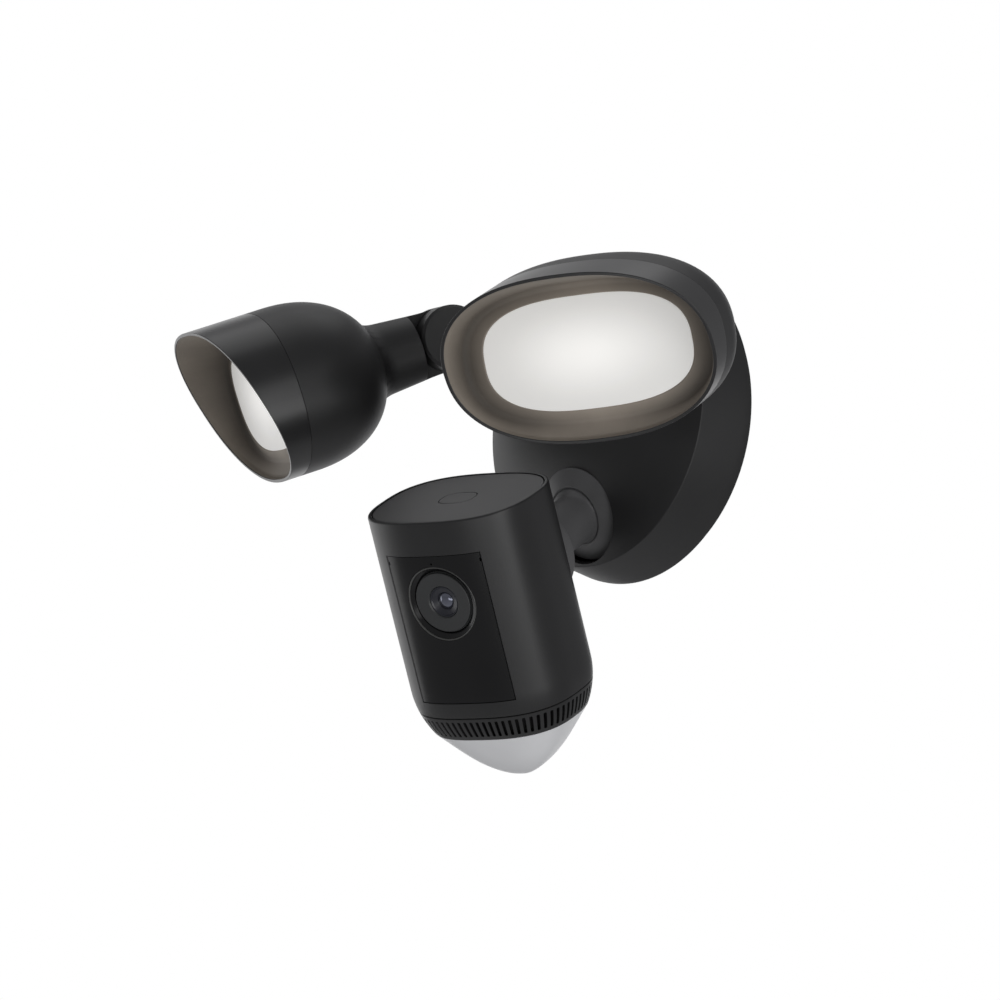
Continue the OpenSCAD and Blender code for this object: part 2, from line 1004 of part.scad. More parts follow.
module arm_nut() {
    color(steel)
        arm_frame()
            translate([0, 0, -shoulder_back - nut_t - gap])
                difference() {
                    cylinder(r = nut_r, h = nut_t, $fn = 6);
                    translate([0, 0, -over])
                        cylinder(r = thread_r, h = nut_t + 2 * over);
                }
}

module pivot_bolt() {
    color(steel)
        arm_frame()
            translate([lap_t + gap, 0, 0])
                rotate([0, -90, 0])
                    screw(pivot_r, lap_t + gap + pivot_depth - pivot_head_t, pivot_head_r, pivot_head_t);
}

module neck() {
    color(black)
        head_frame()
            difference() {
                union() {
                    cylinder(r = lap_r, h = neck_start + slice);
                    translate([0, 0, neck_start])
                        cylinder(r1 = lap_r, r2 = neck_root_r, h = neck_root - neck_start);
                    translate([0, 0, neck_root - slice])
                        cylinder(r = spigot_neck_r, h = spigot_neck_h);
                    translate([gap, 0, 0])
                        rotate([0, 90, 0])
                            cylinder(r = lap_r, h = lap_t);
                }
                translate([gap - 2 * lap_r, -lap_r - over, -lap_r - over])
                    cube([2 * lap_r, 2 * (lap_r + over), lap_r + over + lap_cut_r]);
                translate([-over, 0, 0])
                    rotate([0, 90, 0])
                        cylinder(r = pivot_r + fit, h = 2 * lap_t);
                translate([lap_t - pivot_head_t, 0, 0])
                    rotate([0, 90, 0])
                        cylinder(r = pivot_head_r + gap, h = lap_t);
                translate([0, 0, lap_cut_r + wall])
                    cylinder(r = wire_r, h = neck_root);
            }
}

module bowl(inset, front) {
    hull() {
        for (z = bowl_stations)
            translate([0, 0, z + inset])
                scale(bowl_share(z))
                    flat(within_hood(inset, bowl_points), slice);
        translate([0, 0, lens_reach + front - slice])
            flat(within_hood(inset, bowl_points), slice);
    }
}

module head_shell() {
    color(black)
        head_frame()
            difference() {
                bowl(0, -seam_back);
                bowl(wall, over - seam_back);
                cylinder(r = neck_root_r + seat, h = neck_root + seat);
                cylinder(r = spigot_neck_r + seat, h = neck_root + spigot_neck_h);
            }
}

module hood() {
    reach = 2 * lip_reach + seam_back;
    color(satin)
        lens_frame()
            difference() {
                translate([0, 0, -seam_back + slice])
                    flat(within_hood(0, barrel_points), reach);
                translate([0, 0, -seam_back - over])
                    flat(within_hood(hood_t, barrel_points), reach + 2 * over);
                translate([0, 0, lip_reach])
                    rotate([lip_slant, 0, 0])
                        translate([-2 * hood_a, -2 * hood_a, 0])
                            cube([4 * hood_a, 4 * hood_a, 4 * hood_a]);
            }
}

module funnel(inset) {
    hull() {
        translate([0, 0, -diffuser_t])
            flat(around_lens(frame_w - inset), slice);
        translate([0, 0, lip_reach - lip_inset])
            rotate([lip_slant, 0, 0])
                flat(within_hood(hood_t + seat + inset, bowl_points), slice);
    }
}

module reflector() {
    color(taupe)
        lens_frame()
            difference() {
                funnel(0);
                translate([0, 0, slice])
                    funnel(frame_t);
                translate([0, 0, -diffuser_t - over])
                    flat(around_lens(seat), diffuser_t + over);
            }
}

module diffuser() {
    color(white)
        lens_frame()
            translate([0, 0, -diffuser_t])
                flat(around_lens(0), diffuser_t);
}

module led_board() {
    color(white)
        lens_frame()
            translate([0, 0, led_plate_z])
                flat(around_lens(-sink_rim / 2 - seat), led_plate_t);
}

module leds() {
    color("khaki")
        lens_frame()
            for (i = [0 : led_columns - 1], j = [0 : led_rows - 1])
                translate([(i - (led_columns - 1) / 2) * led_pitch[0], (j - (led_rows - 1) / 2) * led_pitch[1],
                           led_plate_z + led_plate_t])
                    translate([-led_size / 2, -led_size / 2, 0])
                        cube([led_size, led_size, led_t]);
}

module heat_sink() {
    color(steel)
        lens_frame()
            difference() {
                union() {
                    translate([0, 0, led_plate_z - sink_t])
                        flat(around_lens(sink_rim), sink_t - led_plate_z - diffuser_t - slice);
                    for (i = [0 : fin_count - 1])
                        translate([-sink_a + i * (2 * sink_a - fin_t) / (fin_count - 1), -sink_b,
                                   led_plate_z - sink_t - fin_h])
                            cube([fin_t, 2 * sink_b, fin_h + slice]);
                }
                translate([0, 0, led_plate_z])
                    flat(around_lens(-sink_rim / 2), -led_plate_z);
            }
}

wall_gasket();
mounting_bracket();
base_screws();
base_housing();
back_plate();
back_plate_screws();
wire_grommet();
terminal_block();
driver_board();
driver_parts();
socket_ring();
ball_liner();
camera_stalk();
swivel_screw();
swivel_pad();
pad_screws();
camera_barrel();
camera_lid();
lid_button();
button_switch();
front_panel();
lens_bezel();
lens_disc();
lens_barrel();
lens_glass();
image_sensor();
main_board();
speaker();
speaker_grille();
sensor_board();
motion_sensor();
sensor_dome();
arm();  // right_arm
arm_nut();  // right_arm_nut
pivot_bolt();  // right_pivot_bolt
neck();  // right_neck
head_shell();  // right_head_shell
hood();  // right_hood
reflector();  // right_reflector
diffuser();  // right_diffuser
led_board();  // right_led_board
leds();  // right_leds
heat_sink();  // right_heat_sink
on_left() arm();  // left_arm
on_left() arm_nut();  // left_arm_nut
on_left() pivot_bolt();  // left_pivot_bolt
on_left() neck();  // left_neck
on_left() head_shell();  // left_head_shell
on_left() hood();  // left_hood
on_left() reflector();  // left_reflector
on_left() diffuser();  // left_diffuser
on_left() led_board();  // left_led_board
on_left() leds();  // left_leds
on_left() heat_sink();  // left_heat_sink
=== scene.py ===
# Floodlight security camera: the visible pieces and their finishes, over the CAD frame
import json
import math

import bmesh
import bpy
from mathutils import Matrix, Vector


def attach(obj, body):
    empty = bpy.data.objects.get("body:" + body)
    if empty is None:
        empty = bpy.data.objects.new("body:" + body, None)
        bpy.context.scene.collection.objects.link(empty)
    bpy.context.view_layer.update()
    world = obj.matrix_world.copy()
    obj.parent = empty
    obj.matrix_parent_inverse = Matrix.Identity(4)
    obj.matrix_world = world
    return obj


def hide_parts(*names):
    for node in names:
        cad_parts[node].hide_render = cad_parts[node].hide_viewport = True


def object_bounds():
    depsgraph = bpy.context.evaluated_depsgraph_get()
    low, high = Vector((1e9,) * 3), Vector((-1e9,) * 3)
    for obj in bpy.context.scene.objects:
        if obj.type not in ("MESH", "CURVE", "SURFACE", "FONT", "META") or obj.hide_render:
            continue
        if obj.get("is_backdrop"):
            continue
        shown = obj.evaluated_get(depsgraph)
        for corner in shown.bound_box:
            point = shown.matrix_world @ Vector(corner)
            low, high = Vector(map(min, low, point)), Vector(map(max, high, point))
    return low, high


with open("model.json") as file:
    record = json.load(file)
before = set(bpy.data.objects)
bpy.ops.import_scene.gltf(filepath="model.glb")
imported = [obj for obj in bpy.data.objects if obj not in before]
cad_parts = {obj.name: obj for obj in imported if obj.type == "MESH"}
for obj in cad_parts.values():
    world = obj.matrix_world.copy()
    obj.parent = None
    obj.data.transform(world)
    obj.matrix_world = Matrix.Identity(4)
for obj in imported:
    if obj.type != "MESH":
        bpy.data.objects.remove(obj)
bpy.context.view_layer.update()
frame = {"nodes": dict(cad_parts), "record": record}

# Sizes in millimetres; where the CAD has the same size, it has the same value there
MM = 0.001
GAP = 0.3
FIT = 0.15

# Base and its screws
BASE_R = 70.0
BASE_ROUND = 0.5
CREASE_R = 66.0
CREASE_Z = 28.0
CREASE_ROUND = 0.7
FACE_Z = 44.0
FLANK_Z = 5.0
GASKET = 3.0
WALL = 2.6
SCREW_TURN = 60
SCREW_Z = 6.8
SCREW_R = 2.3
SCREW_DEEP = 13.0
SCREW_HEAD_R = 3.5
SCREW_SEAT = 1.5

# Shoulders and arms
SHOULDER_R = 15.0
SHOULDER_FRONT = 25.0
SHOULDER_BACK = 40.0
WEB_T = 3.0
THREAD_R = 3.0
THREAD_END = 45.4
SHANK_R = 10.95
COLLAR_R = 14.0
COLLAR_T = 6.0
LAP_R = 14.2
LAP_T = 13.2
LAP_CUT_R = 15.0
PIVOT_R = 4.0
PIVOT_DEEP = 9.0
PIVOT_HEAD_R = 6.5
PIVOT_HEAD_T = 3.5

# Heads: neck, bowl, hood, reflector and window
NECK_R = 14.1
NECK_START = 9.0
NECK_ROOT = 38.0
NECK_ROOT_R = 16.5
NECK_BLEND = 7.0
BOWL_FRONT = 75.0
BOWL_DEPTH = 41.0
BOWL_POWER = 2.2
SEAM_BACK = 3.6
SEAM_HALF = 0.06
TONGUE_T = 1.4
TONGUE_STEP = 1.0
HOOD_A = 58.2
HOOD_B = 37.0
HOOD_N = 2.3
HOOD_T = 2.0
LIP_REACH = 13.7
LIP_SLOPE = math.tan(math.radians(15.2))
LIP_T = 1.4
LIP_DROP = 2.5
LENS_REACH = 87.0
LENS_A = 45.4
LENS_B = 23.9
LENS_N = 2.7
FOLD_A = 53.4
FOLD_B = 28.4
FOLD_OUT = 0.4
FOLD_Z = -1.6
FRAME_BACK = 2.4
WINDOW_BACK = 2.0
WINDOW_STEP = 1.7
WINDOW_CROWN = 0.35
WINDOW_ROUND = 0.5
WINDOW_EDGE = 0.985

# Ball joint: ring, ball, stalk and pad
RING_R = 20.8
RING_T = 4.4
RING_EDGE = 0.8
RING_MOUTH = 13.6
RING_SPIGOT_R = 18.2
CUP_R = 16.6
CUP_DEEP = 6.0
POCKET_ROOM = 0.35
POCKET_DEEP = 60
BOSS_H = 10.0
LINER_ROOM = 16.3
BALL_R = 13.2
STALK_R = 10.9
STALK_BEND = 9.5
STALK_FLARE = 8.0
STALK_FOOT_R = 11.6
PAD_R = 22.0
PAD_FACE = 44.0
PAD_DEPTH = 15.5

# Camera: case, panel, lid, grille and dome
BARREL_A = 38.2
BARREL_B = 30.0
BARREL_N = 2.7
BARREL_H = 87.6
TAPER_START = 78.0
TAPER_SHARE = 0.154
TAPER_POWER = 2.1
CASE_WALL = 2.2
PANEL_X = 23.4
PANEL_TOP = 14.8
PANEL_BOTTOM = 80.6
PANEL_EDGE = 0.28
PANEL_SUNK = 0.25
PANEL_BACK = 2.0
NOTCH_HALF = 1.1
NOTCH_TOP = 2.6
NOTCH_LOW = 4.2
PIN_R = 0.45
PIN_DROP = 3.6
RIM_T = 1.5
GROOVE = 0.4
LID_DROP = 0.2
LID_T = 2.6
BUTTON_SCALE = 0.21
GRILLE_END = 98.9
SLOTS = 70
SLOT_MARGIN = 1.5
SLOT_ROUND = 0.45
SLOT_ROUND_IN = 0.12
BAND_LINER_IN = 3.2
BAND_LINER_T = 1.2
DOME_H = 25.0
DOME_SCALE = 0.84
DOME_SLOPE = 0.66
DOME_ROUND = 5

# Eye: trim, cone, disc, tube and glass
EYE_DROP = 36.0
EYE_R = 16.3
TRIM_R = 15.7
CONE_R = 13.6
EYE_BACK = 21.0
DISC_R = 13.4
DISC_Z = 27.0
TUBE_R = 6.7
TUBE_Z = 27.3
TUBE_BACK = 12.0
TUBE_HOLE = 3.2
GLASS_R = 3.5
GLASS_Z = 25.0
GLASS_BULGE = 1.6
GLASS_BACK = 22.0

# Places in millimetres and turns in degrees
BALL_AT = (0, -33, -43.5)
SOCKET_LEAN = 117
AIM_TURN = 14
AIM_LEAN = 30
BARREL_AT = (0, -86.3, 40)
ARM_AT = (64, -60, 35)
ARM_TURN = 26.5
ARM_ROLL = 6.2
HEAD_TILT = 23.3

# Turning and shifting, and the frames of the CAD


def turn(axis, degrees):
    return Matrix.Rotation(math.radians(degrees), 4, axis)


def shift(x, y, z):
    return Matrix.Translation((x, y, z))


WALL_FRAME = turn("X", 90)
BALL = shift(*BALL_AT)
SOCKET = BALL @ turn("X", SOCKET_LEAN)
AIM = BALL @ turn("Z", AIM_TURN) @ turn("X", AIM_LEAN)
STALK = AIM @ turn("X", 90)
BARREL = AIM @ shift(*BARREL_AT)
EYE = BARREL @ shift(0, 0, -EYE_DROP) @ turn("X", 90)
ARM = shift(*ARM_AT) @ turn("Z", ARM_TURN) @ turn("X", 90) @ turn("Z", ARM_ROLL)
HEAD = ARM @ turn("X", HEAD_TILT)
LENS = HEAD @ shift(0, 0, LENS_REACH)
MIRROR = Matrix.Scale(-1, 4, (1, 0, 0))
SIDES = (("right", Matrix.Identity(4)), ("left", MIRROR))

# Outlines and profiles


def reach(a, b, power, angle):
    share_a = abs(math.cos(angle) / a) ** power
    share_b = abs(math.sin(angle) / b) ** power
    return (share_a + share_b) ** (-1.0 / power)


def around(count):
    return [2 * math.pi * k / count for k in range(count)]


def outline(a, b, power, z, angles):
    points = []
    for angle in angles:
        radius = reach(a, b, power, angle)
        points.append((radius * math.cos(angle), radius * math.sin(angle), z))
    return points


def rounded(corners, steps=5):
    """A path through (x, y, radius) corners, each turned with an arc of its radius."""
    path = []
    for i, (x, y, radius) in enumerate(corners):
        here = Vector((x, y))
        if radius == 0 or i in (0, len(corners) - 1):
            path.append((x, y))
            continue
        back = Vector(corners[i - 1][:2]) - here
        ahead = Vector(corners[i + 1][:2]) - here
        half = back.angle(ahead) / 2
        room = 0.48 * min(back.length, ahead.length)
        run = min(radius / math.tan(half), room)
        start = here + back.normalized() * run
        end = here + ahead.normalized() * run
        middle = (back.normalized() + ahead.normalized()).normalized()
        centre = here + middle * (run / math.cos(half))
        size = run * math.tan(half)
        for step in range(steps + 1):
            way = start.lerp(end, step / steps) - centre
            point = centre + way.normalized() * size
            path.append((point.x, point.y))
    return path


def lathe(profile, count=96, closed=False):
    rings = []
    for radius, z in profile:
        rings.append([(radius * math.cos(a), radius * math.sin(a), z) for a in around(count)])
    return loft(rings, closed=closed)


def loft(rings, closed=False, start_cap=False, end_cap=False):
    count = len(rings[0])
    points = [p for one in rings for p in one]
    faces = []
    for i in range(len(rings) if closed else len(rings) - 1):
        j = (i + 1) % len(rings)
        for k in range(count):
            m = (k + 1) % count
            faces.append((i * count + k, i * count + m, j * count + m, j * count + k))
    if start_cap:
        faces.append(tuple(range(count)))
    if end_cap:
        faces.append(tuple((len(rings) - 1) * count + k for k in range(count)))
    return points, faces


def sweep(angles, profiles):
    """Rings of points from one profile of (radius, z) for each angle."""
    rings = []
    for row in range(len(profiles[0])):
        ring = []
        for angle, profile in zip(angles, profiles):
            radius, z = profile[row]
            ring.append((radius * math.cos(angle), radius * math.sin(angle), z))
        rings.append(ring)
    return rings


def double_wall(outer, inner, holes):
    """Two closed grids of points joined at their ends and around the cells in holes."""
    rows = len(outer)
    columns = len(outer[0])
    layers = (0, rows * columns)
    points = [p for row in outer for p in row] + [p for row in inner for p in row]

    def at(layer, row, column):
        return layers[layer] + row * columns + column % columns

    faces = []
    for i in range(rows - 1):
        for k in range(columns):
            if (i, k) not in holes:
                for layer in (0, 1):
                    cell = ((i, k), (i, k + 1), (i + 1, k + 1), (i + 1, k))
                    faces.append(tuple(at(layer, *c) for c in cell))
    for k in range(columns):
        for i in (0, rows - 1):
            faces.append((at(0, i, k), at(0, i, k + 1), at(1, i, k + 1), at(1, i, k)))
    for i, k in holes:
        sides = (
            ((i - 1, k), (i, k), (i, k + 1)),
            ((i + 1, k), (i + 1, k), (i + 1, k + 1)),
            ((i, (k - 1) % columns), (i, k), (i + 1, k)),
            ((i, (k + 1) % columns), (i, k + 1), (i + 1, k + 1)),
        )
        for beside, a, b in sides:
            if beside not in holes:
                faces.append((at(0, *a), at(0, *b), at(1, *b), at(1, *a)))
    return points, faces


def slab(front, back):
    """A closed sheet between two open grids of points."""
    rows = len(front)
    columns = len(front[0])
    layers = (0, rows * columns)
    points = [p for row in front for p in row] + [p for row in back for p in row]

    def at(layer, row, column):
        return layers[layer] + row * columns + column

    faces = []
    for i in range(rows - 1):
        for k in range(columns - 1):
            for layer in (0, 1):
                cell = ((i, k), (i, k + 1), (i + 1, k + 1), (i + 1, k))
                faces.append(tuple(at(layer, *c) for c in cell))
    for k in range(columns - 1):
        for i in (0, rows - 1):
            faces.append((at(0, i, k), at(0, i, k + 1), at(1, i, k + 1), at(1, i, k)))
    for i in range(rows - 1):
        for k in (0, columns - 1):
            faces.append((at(0, i, k), at(0, i + 1, k), at(1, i + 1, k), at(1, i, k)))
    return points, faces


# Making objects; the distances below which points count as one, in metres and, for cuts, in millimetres
DOUBLE_POINTS = 1e-7
SHORT_EDGES = 1e-8
CUT_POINTS = 2e-4


def solid(name, shape, place):
    points, faces = shape
    mesh = bpy.data.meshes.new(name)
    mesh.from_pydata([(place @ Vector(p)) * MM for p in points], [], faces)
    work = bmesh.new()
    work.from_mesh(mesh)
    bmesh.ops.remove_doubles(work, verts=work.verts, dist=DOUBLE_POINTS)
    bmesh.ops.dissolve_degenerate(work, edges=work.edges, dist=SHORT_EDGES)
    bmesh.ops.recalc_face_normals(work, faces=work.faces)
    work.to_mesh(mesh)
    work.free()
    obj = bpy.data.objects.new(name, mesh)
    bpy.context.collection.objects.link(obj)
    return obj


def clean_mesh(mesh, scale):
    """Scales a mesh, merges its doubled points and splits its faces into triangles."""
    work = bmesh.new()
    work.from_mesh(mesh)
    bmesh.ops.scale(work, vec=(scale, scale, scale), verts=work.verts)
    near = CUT_POINTS * min(scale, 1.0)
    bmesh.ops.remove_doubles(work, verts=work.verts, dist=near)
    bmesh.ops.dissolve_degenerate(work, edges=work.edges, dist=near)
    bmesh.ops.triangulate(work, faces=work.faces)
    work.to_mesh(mesh)
    work.free()


def combine(target, operation, *tools):
    clean_mesh(target.data, 1 / MM)
    for tool in tools:
        clean_mesh(tool.data, 1 / MM)
        change = target.modifiers.new("change", "BOOLEAN")
        change.operation = operation
        change.solver = "EXACT"
        change.object = tool
        bpy.context.view_layer.update()
        graph = bpy.context.evaluated_depsgraph_get()
        mesh = bpy.data.meshes.new_from_object(target.evaluated_get(graph))
        target.modifiers.clear()
        target.data = mesh
        clean_mesh(mesh, 1.0)
        bpy.data.objects.remove(tool)
    clean_mesh(target.data, MM)
    return target


def finish_piece(obj, paint, body, hides=(), crisp=32, edge=0.0):
    mesh = obj.data
    mesh.materials.clear()
    mesh.materials.append(paint)
    mesh.shade_smooth()
    mesh.set_sharp_from_angle(angle=math.radians(crisp))
    if edge:
        soften(obj, edge)
    even = obj.modifiers.new("even_shading", "WEIGHTED_NORMAL")
    even.keep_sharp = True
    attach(obj, body)
    if hides:
        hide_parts(*hides)
    return obj


def soften(obj, width):
    bevel = obj.modifiers.new("edges", "BEVEL")
    bevel.width = width * MM
    bevel.segments = 2
    bevel.limit_method = "ANGLE"
    bevel.angle_limit = math.radians(40)
    bevel.harden_normals = True


def across(radius, start, end, chamfer=0.0, count=72):
    """A disc along x from start to end, with a chamfer at its far end."""
    sign = 1 if end > start else -1
    profile = [(0, start), (radius, start)]
    if chamfer:
        profile += [(radius, end - sign * chamfer), (radius - chamfer, end)]
    else:
        profile += [(radius, end)]
    profile += [(0, end)]
    points, faces = lathe(profile, count)
    return [(z, y, -x) for x, y, z in points], faces


def rod(radius, start, end, count=72):
    return lathe([(0, start), (radius, start), (radius, end), (0, end)], count)


def block(low, high):
    corners = ((low[0], low[1]), (high[0], low[1]), (high[0], high[1]), (low[0], high[1]))
    rings = [[(x, y, z) for x, y in corners] for z in (low[2], high[2])]
    return loft(rings, start_cap=True, end_cap=True)


# Finishes
ROUGH_SWING = 0.12
GRAIN_DEPTH = 0.00006
CLOUD_SCALE = 38.0


def make_paint(name, colour, rough, spread=0.12, grain=0.12, grain_scale=2600.0, metal=0.0, **sockets):
    paint = bpy.data.materials.new(name)
    paint.use_nodes = True
    tree = paint.node_tree
    shader = tree.nodes["Principled BSDF"]
    place = tree.nodes.new("ShaderNodeTexCoord")
    cloud = tree.nodes.new("ShaderNodeTexNoise")
    cloud.inputs["Scale"].default_value = CLOUD_SCALE
    cloud.inputs["Detail"].default_value = 6.0
    tint = tree.nodes.new("ShaderNodeValToRGB")
    low, high = tint.color_ramp.elements
    low.position = 0.3
    high.position = 0.7
    low.color = tuple(c * (1 - spread) for c in colour) + (1,)
    high.color = tuple(min(1.0, c * (1 + spread)) for c in colour) + (1,)
    speck = tree.nodes.new("ShaderNodeTexNoise")
    speck.inputs["Scale"].default_value = grain_scale
    speck.inputs["Detail"].default_value = 2.0
    gloss = tree.nodes.new("ShaderNodeMapRange")
    gloss.inputs["To Min"].default_value = rough * (1 - ROUGH_SWING)
    gloss.inputs["To Max"].default_value = min(1.0, rough * (1 + ROUGH_SWING))
    bump = tree.nodes.new("ShaderNodeBump")
    bump.inputs["Strength"].default_value = grain
    bump.inputs["Distance"].default_value = GRAIN_DEPTH
    links = tree.links
    for noise in (cloud, speck):
        links.new(place.outputs["Object"], noise.inputs["Vector"])
    links.new(cloud.outputs[0], tint.inputs[0])
    links.new(tint.outputs[0], shader.inputs["Base Color"])
    links.new(cloud.outputs[0], gloss.inputs["Value"])
    links.new(gloss.outputs[0], shader.inputs["Roughness"])
    links.new(speck.outputs[0], bump.inputs["Height"])
    links.new(bump.outputs[0], shader.inputs["Normal"])
    shader.inputs["Metallic"].default_value = metal
    for socket, value in sockets.items():
        shader.inputs[socket.replace("_", " ")].default_value = value
    return paint


PAINTS = {
    "housing_black": make_paint("housing_black", (0.013, 0.013, 0.0135), 0.50, grain=0.18),
    "satin_black": make_paint("satin_black", (0.014, 0.014, 0.0145), 0.34, grain=0.08),
    "gloss_black": make_paint(
        "gloss_black", (0.007, 0.007, 0.0075), 0.22, grain=0.02, Specular_IOR_Level=0.3),
    "lens_grey": make_paint("lens_grey", (0.030, 0.031, 0.032), 0.45, grain=0.05),
    "lens_glass": make_paint("lens_glass", (0.15, 0.16, 0.21), 0.09, grain=0.0, metal=0.8, Coat_Weight=0.9),
    "lid_black": make_paint("lid_black", (0.068, 0.068, 0.069), 0.46, grain=0.10),
    # collar_black is lighter than housing_black, in part as painted light: it lifts the ring, stalk and
    # pad, which the lamps barely reach
    "collar_black": make_paint("collar_black", (0.09, 0.09, 0.092), 0.48, grain=0.10),
    "case_black": make_paint("case_black", (0.013, 0.013, 0.0135), 0.40, grain=0.12),
    "trim_grey": make_paint("trim_grey", (0.06, 0.06, 0.058), 0.34, grain=0.02),
    "tube_blue": make_paint("tube_blue", (0.016, 0.017, 0.024), 0.30, grain=0.02),
    "reflector_grey": make_paint(
        "reflector_grey", (0.215, 0.188, 0.158), 0.62, grain=0.05, Specular_IOR_Level=0.3),
    "diffuser_white": make_paint("diffuser_white", (0.70, 0.695, 0.675), 0.55, spread=0.02, grain=0.05),
    "dome_white": make_paint("dome_white", (0.76, 0.765, 0.78), 0.38, spread=0.03, grain=0.04),
    "steel": make_paint("steel", (0.45, 0.46, 0.47), 0.36, metal=1.0, grain=0.1),
    "aluminium": make_paint("aluminium", (0.62, 0.63, 0.64), 0.42, metal=1.0, grain=0.25),
    "rubber": make_paint("rubber", (0.016, 0.016, 0.016), 0.78, grain=0.4),
    "board_green": make_paint("board_green", (0.015, 0.10, 0.04), 0.40, grain=0.1),
    "board_white": make_paint("board_white", (0.74, 0.74, 0.72), 0.45, spread=0.03),
    "led_yellow": make_paint("led_yellow", (0.80, 0.60, 0.12), 0.35, spread=0.06),
    "terminal_white": make_paint("terminal_white", (0.66, 0.66, 0.64), 0.48, spread=0.04),
    "component_grey": make_paint("component_grey", (0.045, 0.045, 0.045), 0.50),
}


def light_up(paint, place):
    """Glow that is strongest in the middle of a floodlight's window and softer to its edge."""
    tree = paint.node_tree
    shader = tree.nodes["Principled BSDF"]
    coord = tree.nodes.new("ShaderNodeTexCoord")
    local = tree.nodes.new("ShaderNodeMapping")
    local.vector_type = "TEXTURE"
    local.inputs["Location"].default_value = place.translation * MM
    local.inputs["Rotation"].default_value = place.to_euler()
    local.inputs["Scale"].default_value = (LENS_A * MM, LENS_B * MM, LENS_A * MM)
    spot = tree.nodes.new("ShaderNodeTexGradient")
    spot.gradient_type = "SPHERICAL"
    glow = tree.nodes.new("ShaderNodeMapRange")
    glow.interpolation_type = "SMOOTHSTEP"
    glow.inputs["To Min"].default_value = 0.24
    glow.inputs["To Max"].default_value = 0.47
    tree.links.new(coord.outputs["Object"], local.inputs["Vector"])
    tree.links.new(local.outputs[0], spot.inputs[0])
    tree.links.new(spot.outputs[1], glow.inputs["Value"])
    tree.links.new(glow.outputs[0], shader.inputs["Emission Strength"])
    shader.inputs["Emission Color"].default_value = (1.0, 0.985, 0.955, 1.0)


def tone_by_points(paint, name):
    """Lets a point attribute of the mesh make a paint lighter or darker."""
    tree = paint.node_tree
    colour = tree.nodes["Principled BSDF"].inputs["Base Color"]
    tint = colour.links[0].from_socket
    mark = tree.nodes.new("ShaderNodeAttribute")
    mark.attribute_name = name
    tone = tree.nodes.new("ShaderNodeVectorMath")
    tone.operation = "SCALE"
    tree.links.new(tint, tone.inputs[0])
    tree.links.new(mark.outputs["Fac"], tone.inputs["Scale"])
    tree.links.new(tone.outputs[0], colour)


# Painted shade and light on a reflector: how much its fold is darkened with painted shade and its window's
# edge lightened with painted light, and how far both go
PAINTED_FOLD_SHADE = 0.74
PAINTED_SHADE_WIDE = 4.5
PAINTED_WINDOW_LIGHT = 0.65
PAINTED_LIGHT_WIDE = 4.0
# The reflector's paint is scaled by a point attribute that carries this painted shade and painted light
tone_by_points(PAINTS["reflector_grey"], "painted_shade_and_light")

# The floodlights: back shell with its neck, hood, reflector and window


def bowl_share(z):
    deep = max(0.0, (BOWL_FRONT - z) / BOWL_DEPTH)
    return max(0.0, 1 - deep ** BOWL_POWER) ** (1 / BOWL_POWER)


def neck_radius(z):
    rise = max(0.0, (z - NECK_START) / (NECK_ROOT - NECK_START))
    return NECK_R + (NECK_ROOT_R - NECK_R) * rise


def walk(path, count):
    """The same path with evenly spread points."""
    spans = [(b - a).length for a, b in zip(path, path[1:])]
    total = sum(spans)
    even = [path[0]]
    at = 0
    done = 0.0
    for step in range(1, count):
        want = total * step / count
        while done + spans[at] < want:
            done += spans[at]
            at += 1
        even.append(path[at].lerp(path[at + 1], (want - done) / spans[at]))
    return even + [path[-1]]


def bowl_profile(angle):
    wide = reach(HOOD_A, HOOD_B, HOOD_N, angle)
    low = BOWL_FRONT - BOWL_DEPTH
    high = BOWL_FRONT
    for _ in range(40):
        middle = (low + high) / 2
        if wide * bowl_share(middle) < neck_radius(middle):
            low = middle
        else:
            high = middle
    meet = high
    neck = [Vector((NECK_R, 0.0)), Vector((NECK_R, NECK_START))]
    neck_end = meet - NECK_BLEND
    neck += [Vector((neck_radius(neck_end), neck_end))]
    bowl = []
    steps = 160
    for step in range(steps + 1):
        z = BOWL_FRONT - (BOWL_FRONT - meet) * (1 - step / steps) ** 2
        bowl.append(Vector((wide * bowl_share(z), z)))
    gone = 0.0
    first = 0
    while gone < NECK_BLEND:
        gone += (bowl[first + 1] - bowl[first]).length
        first += 1
    corner = Vector((neck_radius(meet), meet))
    bend = []
    turns = 12
    for step in range(turns + 1):
        t = step / turns
        bend.append(neck[-1] * (1 - t) ** 2 + corner * 2 * t * (1 - t) + bowl[first] * t * t)
    seam = LENS_REACH - SEAM_BACK
    step_in = wide - TONGUE_STEP
    end = seam - SEAM_HALF
    edge = rounded([(wide, BOWL_FRONT, 0), (wide, end, 0.15), (step_in, end, 0)], 4)
    tongue = [(step_in, seam + TONGUE_T), (step_in - TONGUE_T, seam + TONGUE_T)]
    inner = []
    for z in (BOWL_FRONT, 70.0, 62.0, 54.0, 47.0, 42.0):
        inner.append(((wide - WALL) * bowl_share(z), z + WALL))
    path = [tuple(p) for p in walk(neck, 8)[:-1] + bend + walk(bowl[first:], 34)[1:]]
    return path + edge[1:] + tongue + inner


def head_back(name, place):
    angles = around(144)
    rings = sweep(angles, [bowl_profile(angle) for angle in angles])
    obj = solid(name, loft(rings, start_cap=True, end_cap=True), place)
    disc = solid("disc", across(LAP_R, -2.0, GAP + LAP_T, 1.0), place)
    combine(obj, "UNION", disc)
    cut = solid("cut", block((-3 * LAP_T, -2 * LAP_R, -2 * LAP_R), (GAP, 2 * LAP_R, LAP_CUT_R)), place)
    head_seat = solid("seat", across(PIVOT_HEAD_R + GAP, LAP_T - PIVOT_HEAD_T, 2 * LAP_T), place)
    hole = solid("hole", across(PIVOT_R + 0.2, -LAP_T, 2 * LAP_T), place)
    combine(obj, "DIFFERENCE", cut, head_seat, hole)
    return obj


